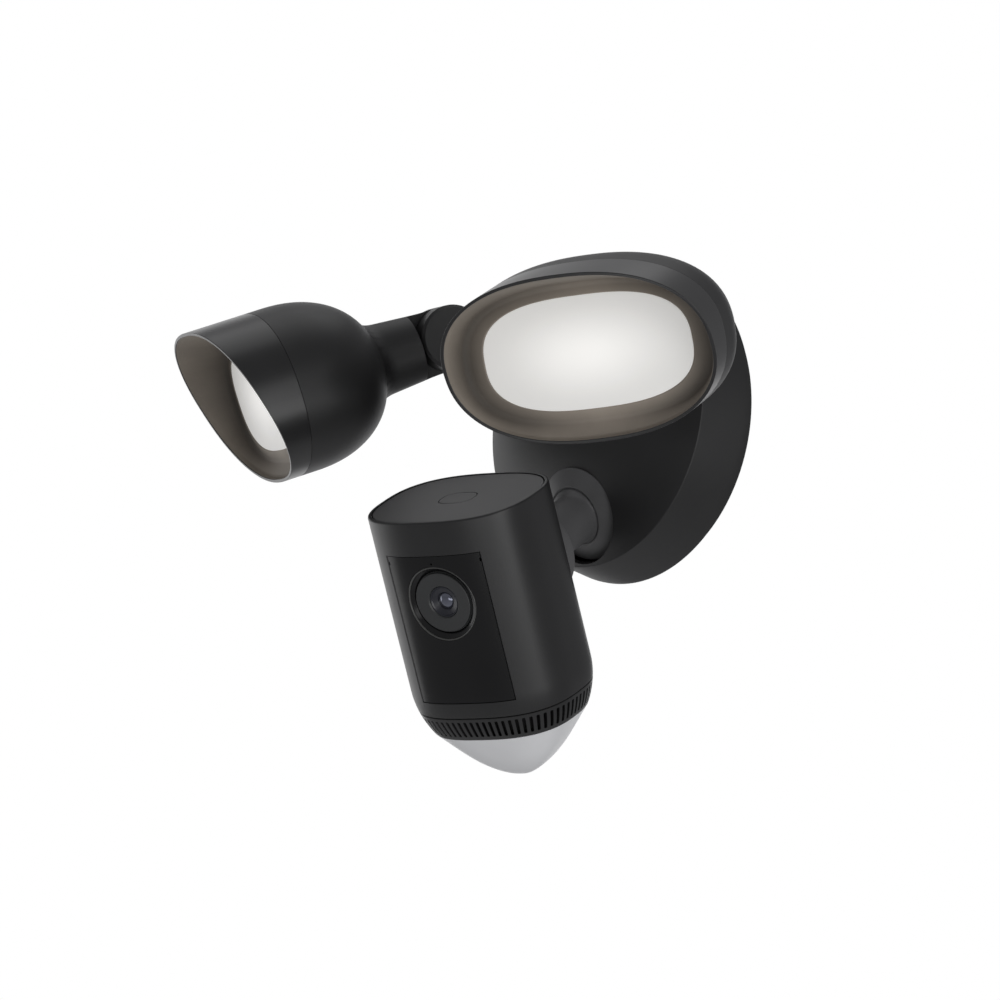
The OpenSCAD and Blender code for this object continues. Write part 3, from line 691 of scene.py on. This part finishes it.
def arm_shape(name, place):
    profile = rounded([
        (0, -THREAD_END, 0),
        (THREAD_R, -THREAD_END, 0.4),
        (THREAD_R, -SHOULDER_BACK + WEB_T + GAP, 0),
        (SHANK_R, -SHOULDER_BACK + WEB_T + GAP, 0.4),
        (SHANK_R, -SHOULDER_FRONT + GAP, 0),
        (COLLAR_R, -SHOULDER_FRONT + GAP, 0.6),
        (COLLAR_R, -SHOULDER_FRONT + GAP + COLLAR_T, 1.0),
        (SHANK_R, -SHOULDER_FRONT + GAP + COLLAR_T, 0.8),
        (SHANK_R, 0, 0),
        (0, 0, 0),
    ])
    obj = solid(name, lathe(profile, 96), place)
    combine(obj, "UNION", solid("disc", across(LAP_R, 2.0, -GAP - LAP_T, 1.2), place))
    cut = solid("cut", across(LAP_CUT_R, -GAP, 3 * LAP_T), place)
    hole = solid("hole", across(PIVOT_R, -PIVOT_DEEP, 2 * LAP_T), place)
    combine(obj, "DIFFERENCE", cut, hole)
    return obj


def lip_height(y):
    return LIP_REACH + LIP_SLOPE * y


def hood_shape():
    angles = around(192)
    profiles = []
    for angle in angles:
        wide = reach(HOOD_A, HOOD_B, HOOD_N, angle)
        lip = lip_height(wide * math.sin(angle))
        seam = SEAM_HALF - SEAM_BACK
        profiles.append(rounded([
            (wide - HOOD_T, seam, 0),
            (wide, seam, 0.12),
            (wide, lip, 0.3),
            (wide - LIP_T, lip, 0.2),
            (wide - HOOD_T, lip - LIP_DROP, 0),
            (wide - HOOD_T, seam + 0.5, 0),
        ], 6))
    return loft(sweep(angles, profiles), closed=True)


def reflector_shape():
    angles = around(192)
    profiles = []
    for angle in angles:
        wide = reach(HOOD_A, HOOD_B, HOOD_N, angle)
        window = reach(LENS_A, LENS_B, LENS_N, angle)
        lip = lip_height(wide * math.sin(angle))
        fold = reach(FOLD_A, FOLD_B, LENS_N, angle)
        profiles.append(rounded([
            (window - 1.0, -FRAME_BACK, 0),
            (window - 1.0, -0.9, 0),
            (window + 0.1, -0.2, 0.3),
            (fold + FOLD_OUT, FOLD_Z, 3.0),
            (wide - HOOD_T - 0.2, lip - LIP_DROP + 0.1, 2.0),
            (wide - LIP_T - 0.1, lip - 0.3, 0.1),
            (wide - LIP_T + 0.15, lip - 0.5, 0),
            (wide - HOOD_T + 0.1, lip - LIP_DROP - 0.2, 0),
            (wide - HOOD_T + 0.1, -FRAME_BACK, 0),
        ], 8))
    return loft(sweep(angles, profiles), closed=True)


def paint_fold_shade_and_window_light(obj, place):
    """Paints shade into the fold at a reflector's two narrow ends, and paints the window's light onto its
    long sides by the window.
    """
    mark = obj.data.attributes.new("painted_shade_and_light", "FLOAT", "POINT")
    back = place.inverted()
    for point in obj.data.vertices:
        x, y, z = back @ (point.co / MM)
        angle = math.atan2(y, x)
        radius = math.hypot(x, y)
        fold = radius - reach(FOLD_A, FOLD_B, LENS_N, angle) - FOLD_OUT
        window = radius - reach(LENS_A, LENS_B, LENS_N, angle)
        away = math.hypot(fold, z - FOLD_Z) / PAINTED_SHADE_WIDE
        painted_shade = PAINTED_FOLD_SHADE * math.cos(angle) ** 2 * math.exp(-away ** 2)
        painted_light = PAINTED_WINDOW_LIGHT * math.sin(angle) ** 2 * math.exp(-max(0.0, window) / PAINTED_LIGHT_WIDE)
        mark.data[point.index].value = 1 + painted_light - painted_shade


def window_shape():
    angles = around(160)
    rings = [outline(LENS_A * 0.98, LENS_B * 0.98, LENS_N, -WINDOW_BACK, angles)]
    rings += [outline(LENS_A, LENS_B, LENS_N, -WINDOW_STEP, angles)]
    for part in (1.0, WINDOW_EDGE, 0.95, 0.85, 0.7, 0.5, 0.3, 0.1):
        fall = WINDOW_ROUND * max(0.0, part - WINDOW_EDGE) / (1 - WINDOW_EDGE)
        z = -WINDOW_CROWN * part ** 2 - fall
        rings.append(outline(LENS_A * part, LENS_B * part, LENS_N, z, angles))
    return loft(rings, start_cap=True, end_cap=True)


for side, flip in SIDES:
    body = side + "_head"
    obj = head_back(side + "_back_shell", flip @ HEAD)
    finish_piece(obj, PAINTS["housing_black"], body, (side + "_head_shell", side + "_neck"))
    obj = solid(side + "_hood_band", hood_shape(), flip @ LENS)
    finish_piece(obj, PAINTS["satin_black"], body, (side + "_hood",))
    obj = solid(side + "_inner_frame", reflector_shape(), flip @ LENS)
    # Painted shade in the reflector's fold and painted light beside its window, stored on its points
    paint_fold_shade_and_window_light(obj, flip @ LENS)
    finish_piece(obj, PAINTS["reflector_grey"], body, (side + "_reflector",))
    glow = PAINTS["diffuser_white"].copy()
    glow.name = side + "_window_glow"
    light_up(glow, LENS if side == "right" else MIRROR @ LENS @ MIRROR)
    obj = solid(side + "_window", window_shape(), flip @ LENS)
    finish_piece(obj, glow, body, (side + "_diffuser",))
    obj = arm_shape(side + "_swivel_arm", flip @ ARM)
    finish_piece(obj, PAINTS["housing_black"], side + "_arm", (side + "_arm",))

# The camera: case, lid, button, front panel, eye, grille and dome


def taper(z):
    below = max(0.0, -z - TAPER_START) / (GRILLE_END - TAPER_START)
    return 1 - TAPER_SHARE * below ** TAPER_POWER


def case_row(z, inset, angles):
    scale = taper(z)
    return outline(BARREL_A * scale - inset, BARREL_B * scale - inset, BARREL_N, z, angles)


def case_shape():
    angles = around(168)
    side_y = BARREL_B * (1 - (PANEL_X / BARREL_A) ** BARREL_N) ** (1 / BARREL_N)
    stops = []
    for x in (-PANEL_X, PANEL_X):
        want = math.atan2(-side_y, x) % (2 * math.pi)
        near = min(range(len(angles)), key=lambda k: abs(angles[k] - want))
        angles[near] = want
        stops.append(near)
    rows = [(-BARREL_H, 0.35), (-BARREL_H + 0.12, 0.1), (-BARREL_H + 0.35, 0.0)]
    rows += [(-z, 0.0) for z in (86.0, 84.5, 83.0, 81.8)]
    first = len(rows)
    rows += [(-PANEL_BOTTOM, 0.0), (-79.5, 0.0), (-78.0, 0.0), (-60.0, 0.0), (-40.0, 0.0), (-27.0, 0.0)]
    last = len(rows)
    rows += [(-PANEL_TOP, 0.0), (-8.0, 0.0), (-1.0, 0.0), (-0.45, 0.14), (-0.13, 0.42), (0.0, 0.85)]
    outer = [case_row(z, inset, angles) for z, inset in rows]
    inner = [case_row(z, CASE_WALL if z < -5 else RIM_T, angles) for z, inset in rows]
    holes = {(i, k) for i in range(first, last) for k in range(stops[0], stops[1])}
    return double_wall(outer, inner, holes)


def panel_shape():
    columns = 48
    rows = 40
    xs = [(-1 + 2 * k / columns) * (PANEL_X - PANEL_EDGE) for k in range(columns + 1)]
    angles = []
    for x in xs:
        y = BARREL_B * (1 - abs(x / BARREL_A) ** BARREL_N) ** (1 / BARREL_N)
        angles.append(math.atan2(-y, x))
    low = -PANEL_BOTTOM + PANEL_EDGE
    high = -PANEL_TOP - PANEL_EDGE
    zs = [low + (high - low) * k / rows for k in range(rows + 1)]
    front = [case_row(z, PANEL_SUNK, angles) for z in zs]
    back = [case_row(z, PANEL_BACK, angles) for z in zs]
    return slab(front, back)


def lid_shape():
    angles = around(144)
    outer_a = BARREL_A - RIM_T - GROOVE
    outer_b = BARREL_B - RIM_T - GROOVE
    gap = 0.25
    hole_a = BARREL_A * BUTTON_SCALE + gap
    hole_b = BARREL_B * BUTTON_SCALE + gap
    top = -LID_DROP
    rows = [(outer_a, outer_b, -LID_T)]
    for inset, drop in ((0.0, 0.4), (0.12, 0.12), (0.4, 0.0)):
        rows.append((outer_a - inset, outer_b - inset, top - drop))
    for part in (0.8, 0.6, 0.4, 0.25):
        rows.append((hole_a + (outer_a - hole_a) * part, hole_b + (outer_b - hole_b) * part, top))
    rows += [(hole_a + 0.3, hole_b + 0.3, top), (hole_a + 0.08, hole_b + 0.08, top - 0.1)]
    rows += [(hole_a, hole_b, top - 0.3), (hole_a, hole_b, -LID_T)]
    return loft([outline(a, b, BARREL_N, z, angles) for a, b, z in rows], closed=True)


def button_shape():
    angles = around(96)
    a = BARREL_A * BUTTON_SCALE
    b = BARREL_B * BUTTON_SCALE
    rows = [(0.0, -LID_T), (0.0, -LID_DROP - 0.3), (0.08, -LID_DROP - 0.1), (0.3, -LID_DROP)]
    rows += [(2.5, -LID_DROP - 0.04), (4.5, -LID_DROP - 0.06)]
    rings = [outline(a - inset, b - inset, BARREL_N, z, angles) for inset, z in rows]
    return loft(rings, start_cap=True, end_cap=True)


def grille_shape():
    per_slot = 6
    angles = []
    length = [0.0]
    fine = around(2880)
    ring = outline(BARREL_A, BARREL_B, BARREL_N, 0, fine)
    for a, b in zip(ring, ring[1:] + ring[:1]):
        length.append(length[-1] + math.dist(a, b))
    shares = (0.0, 0.06, 0.24, 0.42, 0.48, 0.74)
    step = 0
    for slot in range(SLOTS):
        for share in shares:
            want = length[-1] * (slot + share) / SLOTS
            while length[step + 1] < want:
                step += 1
            part = (want - length[step]) / (length[step + 1] - length[step])
            angles.append(2 * math.pi * (step + part) / len(fine))
    top = -BARREL_H - GAP
    slot_top = top - SLOT_MARGIN
    slot_low = -GRILLE_END + 1.9
    rows = [(top, 0.3, 0), (top - 0.25, 0.0, 0), (slot_top, 0.0, 1)]
    rows += [(slot_top + (slot_low - slot_top) * k / 5, 0.0, 0) for k in range(1, 5)]
    rows += [(slot_low, 0.0, -1), (-GRILLE_END + 0.6, 0.0, 0), (-GRILLE_END + 0.15, 0.15, 0)]
    rows += [(-GRILLE_END, 0.6, 0)]
    outer = []
    inner = []
    for z, inset, end in rows:
        outer_row = []
        inner_row = []
        for k, angle in enumerate(angles):
            place = k % per_slot
            drop = 0.0
            if end and place in (0, 4):
                drop = SLOT_ROUND
            if end and place in (1, 3):
                drop = SLOT_ROUND_IN
            level = z - end * drop
            outer_row += case_row(level, inset, [angle])
            inner_row += case_row(level, CASE_WALL, [angle])
        outer.append(outer_row)
        inner.append(inner_row)
    first = 2
    last = 7
    holes = {(i, s * per_slot + k) for i in range(first, last) for s in range(SLOTS) for k in range(4)}
    return double_wall(outer, inner, holes)


def liner_shape():
    angles = around(96)
    rows = (-BARREL_H + 1, -92.0, -GRILLE_END + 0.6)
    outer = [case_row(z, BAND_LINER_IN, angles) for z in rows]
    inner = [case_row(z, BAND_LINER_IN + BAND_LINER_T, angles) for z in rows]
    return double_wall(outer, inner, set())


def dome_shape():
    angles = around(144)
    rings = [case_row(-GRILLE_END + 1.5, 2.4, angles)]
    steps = 48
    for step in range(steps + 1):
        part = min(1 - (1 - step / steps) ** 2, 0.9995)
        share = DOME_SCALE * (1 - DOME_SLOPE * part) * math.sqrt(1 - part ** DOME_ROUND)
        z = -GRILLE_END - DOME_H * part
        rings.append(outline(BARREL_A * share, BARREL_B * share, BARREL_N, z, angles))
    return loft(rings, start_cap=True, end_cap=True)


obj = solid("case", case_shape(), BARREL)
finish_piece(obj, PAINTS["case_black"], "camera", ("camera_barrel",), edge=0.2)
obj = solid("top_lid", lid_shape(), BARREL)
finish_piece(obj, PAINTS["lid_black"], "camera", ("camera_lid",))
obj = solid("round_button", button_shape(), BARREL)
finish_piece(obj, PAINTS["lid_black"], "button", ("lid_button",))
obj = solid("panel", panel_shape(), BARREL)
well = solid("well", rod(EYE_R + FIT, 15, 40), EYE)
pin = solid("pin", rod(PIN_R, 25, 40, 24), EYE @ shift(0, EYE_DROP - PANEL_TOP - PIN_DROP, 0))
combine(obj, "DIFFERENCE", well, pin)
for x in (-PANEL_X, PANEL_X):
    low = (x - NOTCH_HALF, -35, -PANEL_TOP - NOTCH_LOW)
    high = (x + NOTCH_HALF, -15, -PANEL_TOP - NOTCH_TOP)
    combine(obj, "DIFFERENCE", solid("notch", block(low, high), BARREL))
finish_piece(obj, PAINTS["gloss_black"], "camera", ("front_panel",), edge=0.15)


def panel_height(x):
    return BARREL_B * (1 - abs(x / BARREL_A) ** BARREL_N) ** (1 / BARREL_N) - PANEL_SUNK


def eye_ring_shape(rows):
    """A ring around the eye. A row is a radius, a height, a rounding, and 1 where it follows the panel."""
    angles = around(144)
    profiles = []
    for angle in angles:
        top = panel_height(EYE_R * math.cos(angle))
        corners = [(radius, top + z if follows else z, turn_r) for radius, z, turn_r, follows in rows]
        profiles.append(rounded(corners, 4))
    return loft(sweep(angles, profiles), closed=True)


trim_rows = [
    (TRIM_R, -1.2, 0, 1),
    (EYE_R, -1.2, 0, 1),
    (EYE_R, -0.1, 0.1, 1),
    (EYE_R - 0.2, 0.05, 0.1, 1),
    (TRIM_R, -0.25, 0.1, 1),
    (TRIM_R, -0.6, 0, 1),
]
obj = solid("eye_trim", eye_ring_shape(trim_rows), EYE)
finish_piece(obj, PAINTS["trim_grey"], "camera")
ring_rows = [
    (CONE_R, EYE_BACK, 0, 0),
    (EYE_R, EYE_BACK, 0, 0),
    (EYE_R, -1.2, 0, 1),
    (TRIM_R, -1.2, 0, 1),
    (TRIM_R, -0.5, 0.2, 1),
    (CONE_R + 0.3, DISC_Z + 0.5, 0.3, 0),
    (CONE_R, DISC_Z, 0, 0),
]
obj = solid("eye_ring", eye_ring_shape(ring_rows), EYE)
finish_piece(obj, PAINTS["gloss_black"], "camera", ("lens_bezel",))
disc = rounded([
    (TUBE_R + 0.1, EYE_BACK + 2.0, 0),
    (DISC_R, EYE_BACK + 2.0, 0),
    (DISC_R, DISC_Z, 0),
    (DISC_R - 0.3, DISC_Z, 0),
    (DISC_R - 0.4, DISC_Z + 1.2, 0.4),
    (TUBE_R + 0.5, DISC_Z + 0.8, 0.4),
    (TUBE_R + 0.1, DISC_Z + 0.2, 0),
    (TUBE_R + 0.1, DISC_Z - 1.0, 0),
], 4)
obj = solid("eye_disc", lathe(disc, 128, closed=True), EYE)
finish_piece(obj, PAINTS["lens_grey"], "camera", ("lens_disc",))
tube = rounded([
    (TUBE_HOLE, TUBE_BACK, 0),
    (TUBE_R, TUBE_BACK, 0),
    (TUBE_R, TUBE_Z, 0.2),
    (TUBE_R - 0.4, TUBE_Z, 0.2),
    (TUBE_R - 0.8, TUBE_Z - 0.6, 0.2),
    (TUBE_HOLE + 0.7, TUBE_Z - 1.3, 0.3),
    (TUBE_HOLE + 0.4, TUBE_Z - 1.9, 0.2),
    (TUBE_HOLE, TUBE_Z - 2.1, 0),
], 4)
obj = solid("eye_tube", lathe(tube, 96, closed=True), EYE)
finish_piece(obj, PAINTS["tube_blue"], "camera", ("lens_barrel",))
bulge = []
for step in range(20, -1, -1):
    lean = step * math.pi / 40
    bulge.append((GLASS_R * math.sin(lean), GLASS_Z + GLASS_BULGE * math.cos(lean)))
obj = solid("eye_glass", lathe([(0, GLASS_BACK), (GLASS_R, GLASS_BACK)] + bulge, 96), EYE)
finish_piece(obj, PAINTS["lens_glass"], "camera", ("lens_glass",))
obj = solid("slotted_band", grille_shape(), BARREL)
finish_piece(obj, PAINTS["satin_black"], "camera", ("speaker_grille",))
obj = solid("band_liner", liner_shape(), BARREL)
finish_piece(obj, PAINTS["rubber"], "camera")
obj = solid("dome", dome_shape(), BARREL)
finish_piece(obj, PAINTS["dome_white"], "camera", ("sensor_dome",), crisp=50)

# The base: housing with shoulders and boss, ring, ball and stalk, pad


def base_profile():
    sphere = ((CREASE_R ** 2) + (FACE_Z - CREASE_Z) ** 2) / (2 * (FACE_Z - CREASE_Z))
    slope = (BASE_R - CREASE_R) / (CREASE_Z - FLANK_Z)
    face = []
    steps = 40
    for step in range(1, steps + 1):
        radius = CREASE_R * (1 - step / steps)
        face.append((radius, FACE_Z - sphere + math.sqrt(sphere ** 2 - radius ** 2)))
    rim = rounded([
        (BASE_R - WALL, GASKET, 0),
        (BASE_R, GASKET, BASE_ROUND),
        (BASE_R, FLANK_Z, 0),
        (CREASE_R, CREASE_Z, CREASE_ROUND),
        face[0] + (0,),
    ], 5)
    flank = []
    flank_rows = 8
    for step in range(1, flank_rows):
        z = FLANK_Z + (CREASE_Z - FLANK_Z - 1.5) * step / flank_rows
        flank.append((BASE_R - (z - FLANK_Z) * slope, z))
    at = [i for i, p in enumerate(rim) if p == (BASE_R, FLANK_Z)][0]
    rim = rim[:at + 1] + flank + rim[at + 1:]
    inside = [(0, FACE_Z - WALL)]
    for radius in (20, 40, 55, CREASE_R - WALL - 0.4):
        inside.append((radius, FACE_Z - sphere + math.sqrt((sphere - WALL) ** 2 - radius ** 2)))
    return rim + face[1:] + inside + [(BASE_R - WALL, FLANK_Z)]


def ball_arc(radius, end):
    """Half of a ball's outline, from its far pole to an angle in degrees."""
    turns = [math.radians(degrees) for degrees in range(0, end + 1, 4)]
    return [(radius * math.sin(t), -radius * math.cos(t)) for t in turns]


base = solid("round_base", lathe(base_profile(), 180, closed=True), WALL_FRAME)
unions = [solid("boss", rod(RING_R, -BOSS_H, 2.0, 96), SOCKET)]
cuts = []
for side, flip in SIDES:
    shoulder = rounded([
        (0, -SHOULDER_BACK, 0),
        (SHOULDER_R, -SHOULDER_BACK, 0),
        (SHOULDER_R, -SHOULDER_FRONT, 1.0),
        (0, -SHOULDER_FRONT, 0),
    ])
    unions.append(solid("shoulder", lathe(shoulder, 96), flip @ ARM))
    cuts.append(solid("bore", rod(SHANK_R + FIT, -SHOULDER_BACK + WEB_T, 0), flip @ ARM))
    cuts.append(solid("thread_hole", rod(THREAD_R + FIT, -SHOULDER_BACK - 2, 0, 48), flip @ ARM))
cuts.append(solid("pocket", rod(RING_R + POCKET_ROOM, 0, POCKET_DEEP, 100), SOCKET @ turn("Z", 1.1)))
cuts.append(solid("cup", rod(RING_SPIGOT_R + 0.1, -CUP_DEEP - 0.2, 10, 88), SOCKET @ turn("Z", 0.7)))
cuts.append(solid("ball_room", lathe(ball_arc(LINER_ROOM, 180), 84), SOCKET @ turn("Z", 0.4)))
combine(base, "UNION", *unions)
combine(base, "DIFFERENCE", *cuts)
for half_turn in (0, 180):
    around_rim = WALL_FRAME @ turn("Z", SCREW_TURN + half_turn)
    across_flank = around_rim @ shift(BASE_R, 0, SCREW_Z) @ turn("Y", -90)
    combine(base, "DIFFERENCE", solid("counterbore", rod(SCREW_HEAD_R, -1, SCREW_SEAT, 48), across_flank))
    combine(base, "DIFFERENCE", solid("screw_hole", rod(SCREW_R, -1, SCREW_DEEP, 48), across_flank))
finish_piece(base, PAINTS["housing_black"], "root", ("base_housing",))
hole = [(math.sqrt((BALL_R + 0.1) ** 2 - z ** 2), z, 0) for z in (RING_T - 0.4, 3.0, 2.0, 1.0, 0.0)]
ring = rounded([
    (CUP_R, -CUP_DEEP, 0),
    (RING_SPIGOT_R, -CUP_DEEP, 0),
    (RING_SPIGOT_R, 0, 0),
    (RING_R, 0, 0.2),
    (RING_R, RING_EDGE, 0.4),
    (RING_MOUTH, RING_T, 0.35),
] + hole + [(CUP_R, -0.2, 0)])
obj = solid("ball_ring", lathe(ring, 128, closed=True), SOCKET)
finish_piece(obj, PAINTS["collar_black"], "root", ("socket_ring",))
ball = ball_arc(BALL_R, 124)
stem = rounded([
    ball[-1] + (0,),
    (STALK_R, STALK_BEND, 2.0),
    (STALK_R, PAD_FACE - STALK_FLARE, 3.0),
    (STALK_FOOT_R, PAD_FACE - GAP, 0),
    (0, PAD_FACE - GAP, 0),
], 6)
obj = solid("ball_stalk", lathe(ball + stem[1:], 128), STALK)
finish_piece(obj, PAINTS["collar_black"], "stalk", ("camera_stalk",))
pad = rounded([
    (0, PAD_FACE, 0),
    (PAD_R, PAD_FACE, 1.0),
    (PAD_R, PAD_FACE + PAD_DEPTH, 0),
    (0, PAD_FACE + PAD_DEPTH, 0),
], 6)
obj = solid("back_pad", lathe(pad, 128), STALK)
finish_piece(obj, PAINTS["collar_black"], "camera", ("swivel_pad",))

# The CAD nodes that show as they are
slot_of = {entry["node"]: entry["material_slot"] for entry in frame["record"]["subparts"]}
for name, node in frame["nodes"].items():
    if node.hide_render:
        continue
    node.data.materials.clear()
    node.data.materials.append(PAINTS[slot_of[name]])

# Floor, lights and surroundings
FLOOR_Z = -1.3
FLOOR_HALF = 6.0
floor_mesh = bpy.data.meshes.new("floor")
floor_corners = [(x * FLOOR_HALF, y * FLOOR_HALF, FLOOR_Z) for x, y in ((-1, -1), (1, -1), (1, 1), (-1, 1))]
floor_mesh.from_pydata(floor_corners, [], [(0, 1, 2, 3)])
floor = bpy.data.objects.new("floor", floor_mesh)
bpy.context.collection.objects.link(floor)
floor_mesh.materials.append(make_paint("pale_floor", (0.80, 0.80, 0.80), 0.7, spread=0.01, grain=0.0))
floor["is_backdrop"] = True


def soft_light(name, azimuth, elevation, distance, width, height, power):
    data = bpy.data.lights.new(name, "AREA")
    data.shape = "RECTANGLE"
    data.size = width
    data.size_y = height
    data.energy = power
    obj = bpy.data.objects.new(name, data)
    a = math.radians(azimuth)
    e = math.radians(elevation)
    back = Vector((math.sin(a) * math.cos(e), -math.cos(a) * math.cos(e), math.sin(e)))
    obj.location = back * distance
    obj.rotation_euler = back.to_track_quat("Z", "Y").to_euler()
    bpy.context.collection.objects.link(obj)
    obj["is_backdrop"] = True


soft_light("top", azimuth=-110, elevation=72, distance=1.8, width=1.6, height=1.6, power=5.6)
soft_light("back_left", azimuth=-122, elevation=6, distance=1.8, width=2.4, height=1.55, power=11)
soft_light("front_left", azimuth=-66, elevation=-14, distance=1.2, width=1.0, height=0.6, power=2.2)
soft_light("right", azimuth=78, elevation=-8, distance=1.1, width=0.6, height=1.0, power=4.5)
soft_light("low_front", azimuth=40, elevation=-34, distance=0.95, width=0.8, height=0.25, power=1.0)

world = bpy.data.worlds.new("studio")
bpy.context.scene.world = world
world.use_nodes = True
nodes = world.node_tree.nodes
links = world.node_tree.links
soft = nodes["Background"]
soft.inputs["Color"].default_value = (0.9, 0.9, 0.92, 1)
soft.inputs["Strength"].default_value = 0.32
plain = nodes.new("ShaderNodeBackground")
plain.inputs["Color"].default_value = (1, 1, 1, 1)
plain.inputs["Strength"].default_value = 1.0
path = nodes.new("ShaderNodeLightPath")
choose = nodes.new("ShaderNodeMixShader")
links.new(path.outputs["Is Camera Ray"], choose.inputs[0])
links.new(soft.outputs[0], choose.inputs[1])
links.new(plain.outputs[0], choose.inputs[2])
links.new(choose.outputs[0], nodes["World Output"].inputs["Surface"])

# The camera of the main picture
AZIMUTH = math.radians(46.68)
ELEVATION = math.radians(-9.86)
ROLL = math.radians(2.96)
DISTANCE = 2.5
back = Vector((
    math.sin(AZIMUTH) * math.cos(ELEVATION), -math.cos(AZIMUTH) * math.cos(ELEVATION), math.sin(ELEVATION)))
level = Vector((math.cos(AZIMUTH), math.sin(AZIMUTH), 0))
upright = back.cross(level)
right = level * math.cos(ROLL) + upright * math.sin(ROLL)
up = upright * math.cos(ROLL) - level * math.sin(ROLL)
view = bpy.data.cameras.new("view")
view.sensor_width = 36.0
view.lens = 206.96
view.shift_x = -0.14241
view.shift_y = -0.07433
view.clip_end = 50.0
eye_obj = bpy.data.objects.new("view", view)
eye_obj.matrix_world = Matrix((right, up, back)).transposed().to_4x4()
eye_obj.location = back * DISTANCE
bpy.context.collection.objects.link(eye_obj)
bpy.context.scene.camera = eye_obj
bpy.context.scene.view_settings.view_transform = "Standard"

low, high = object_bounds()
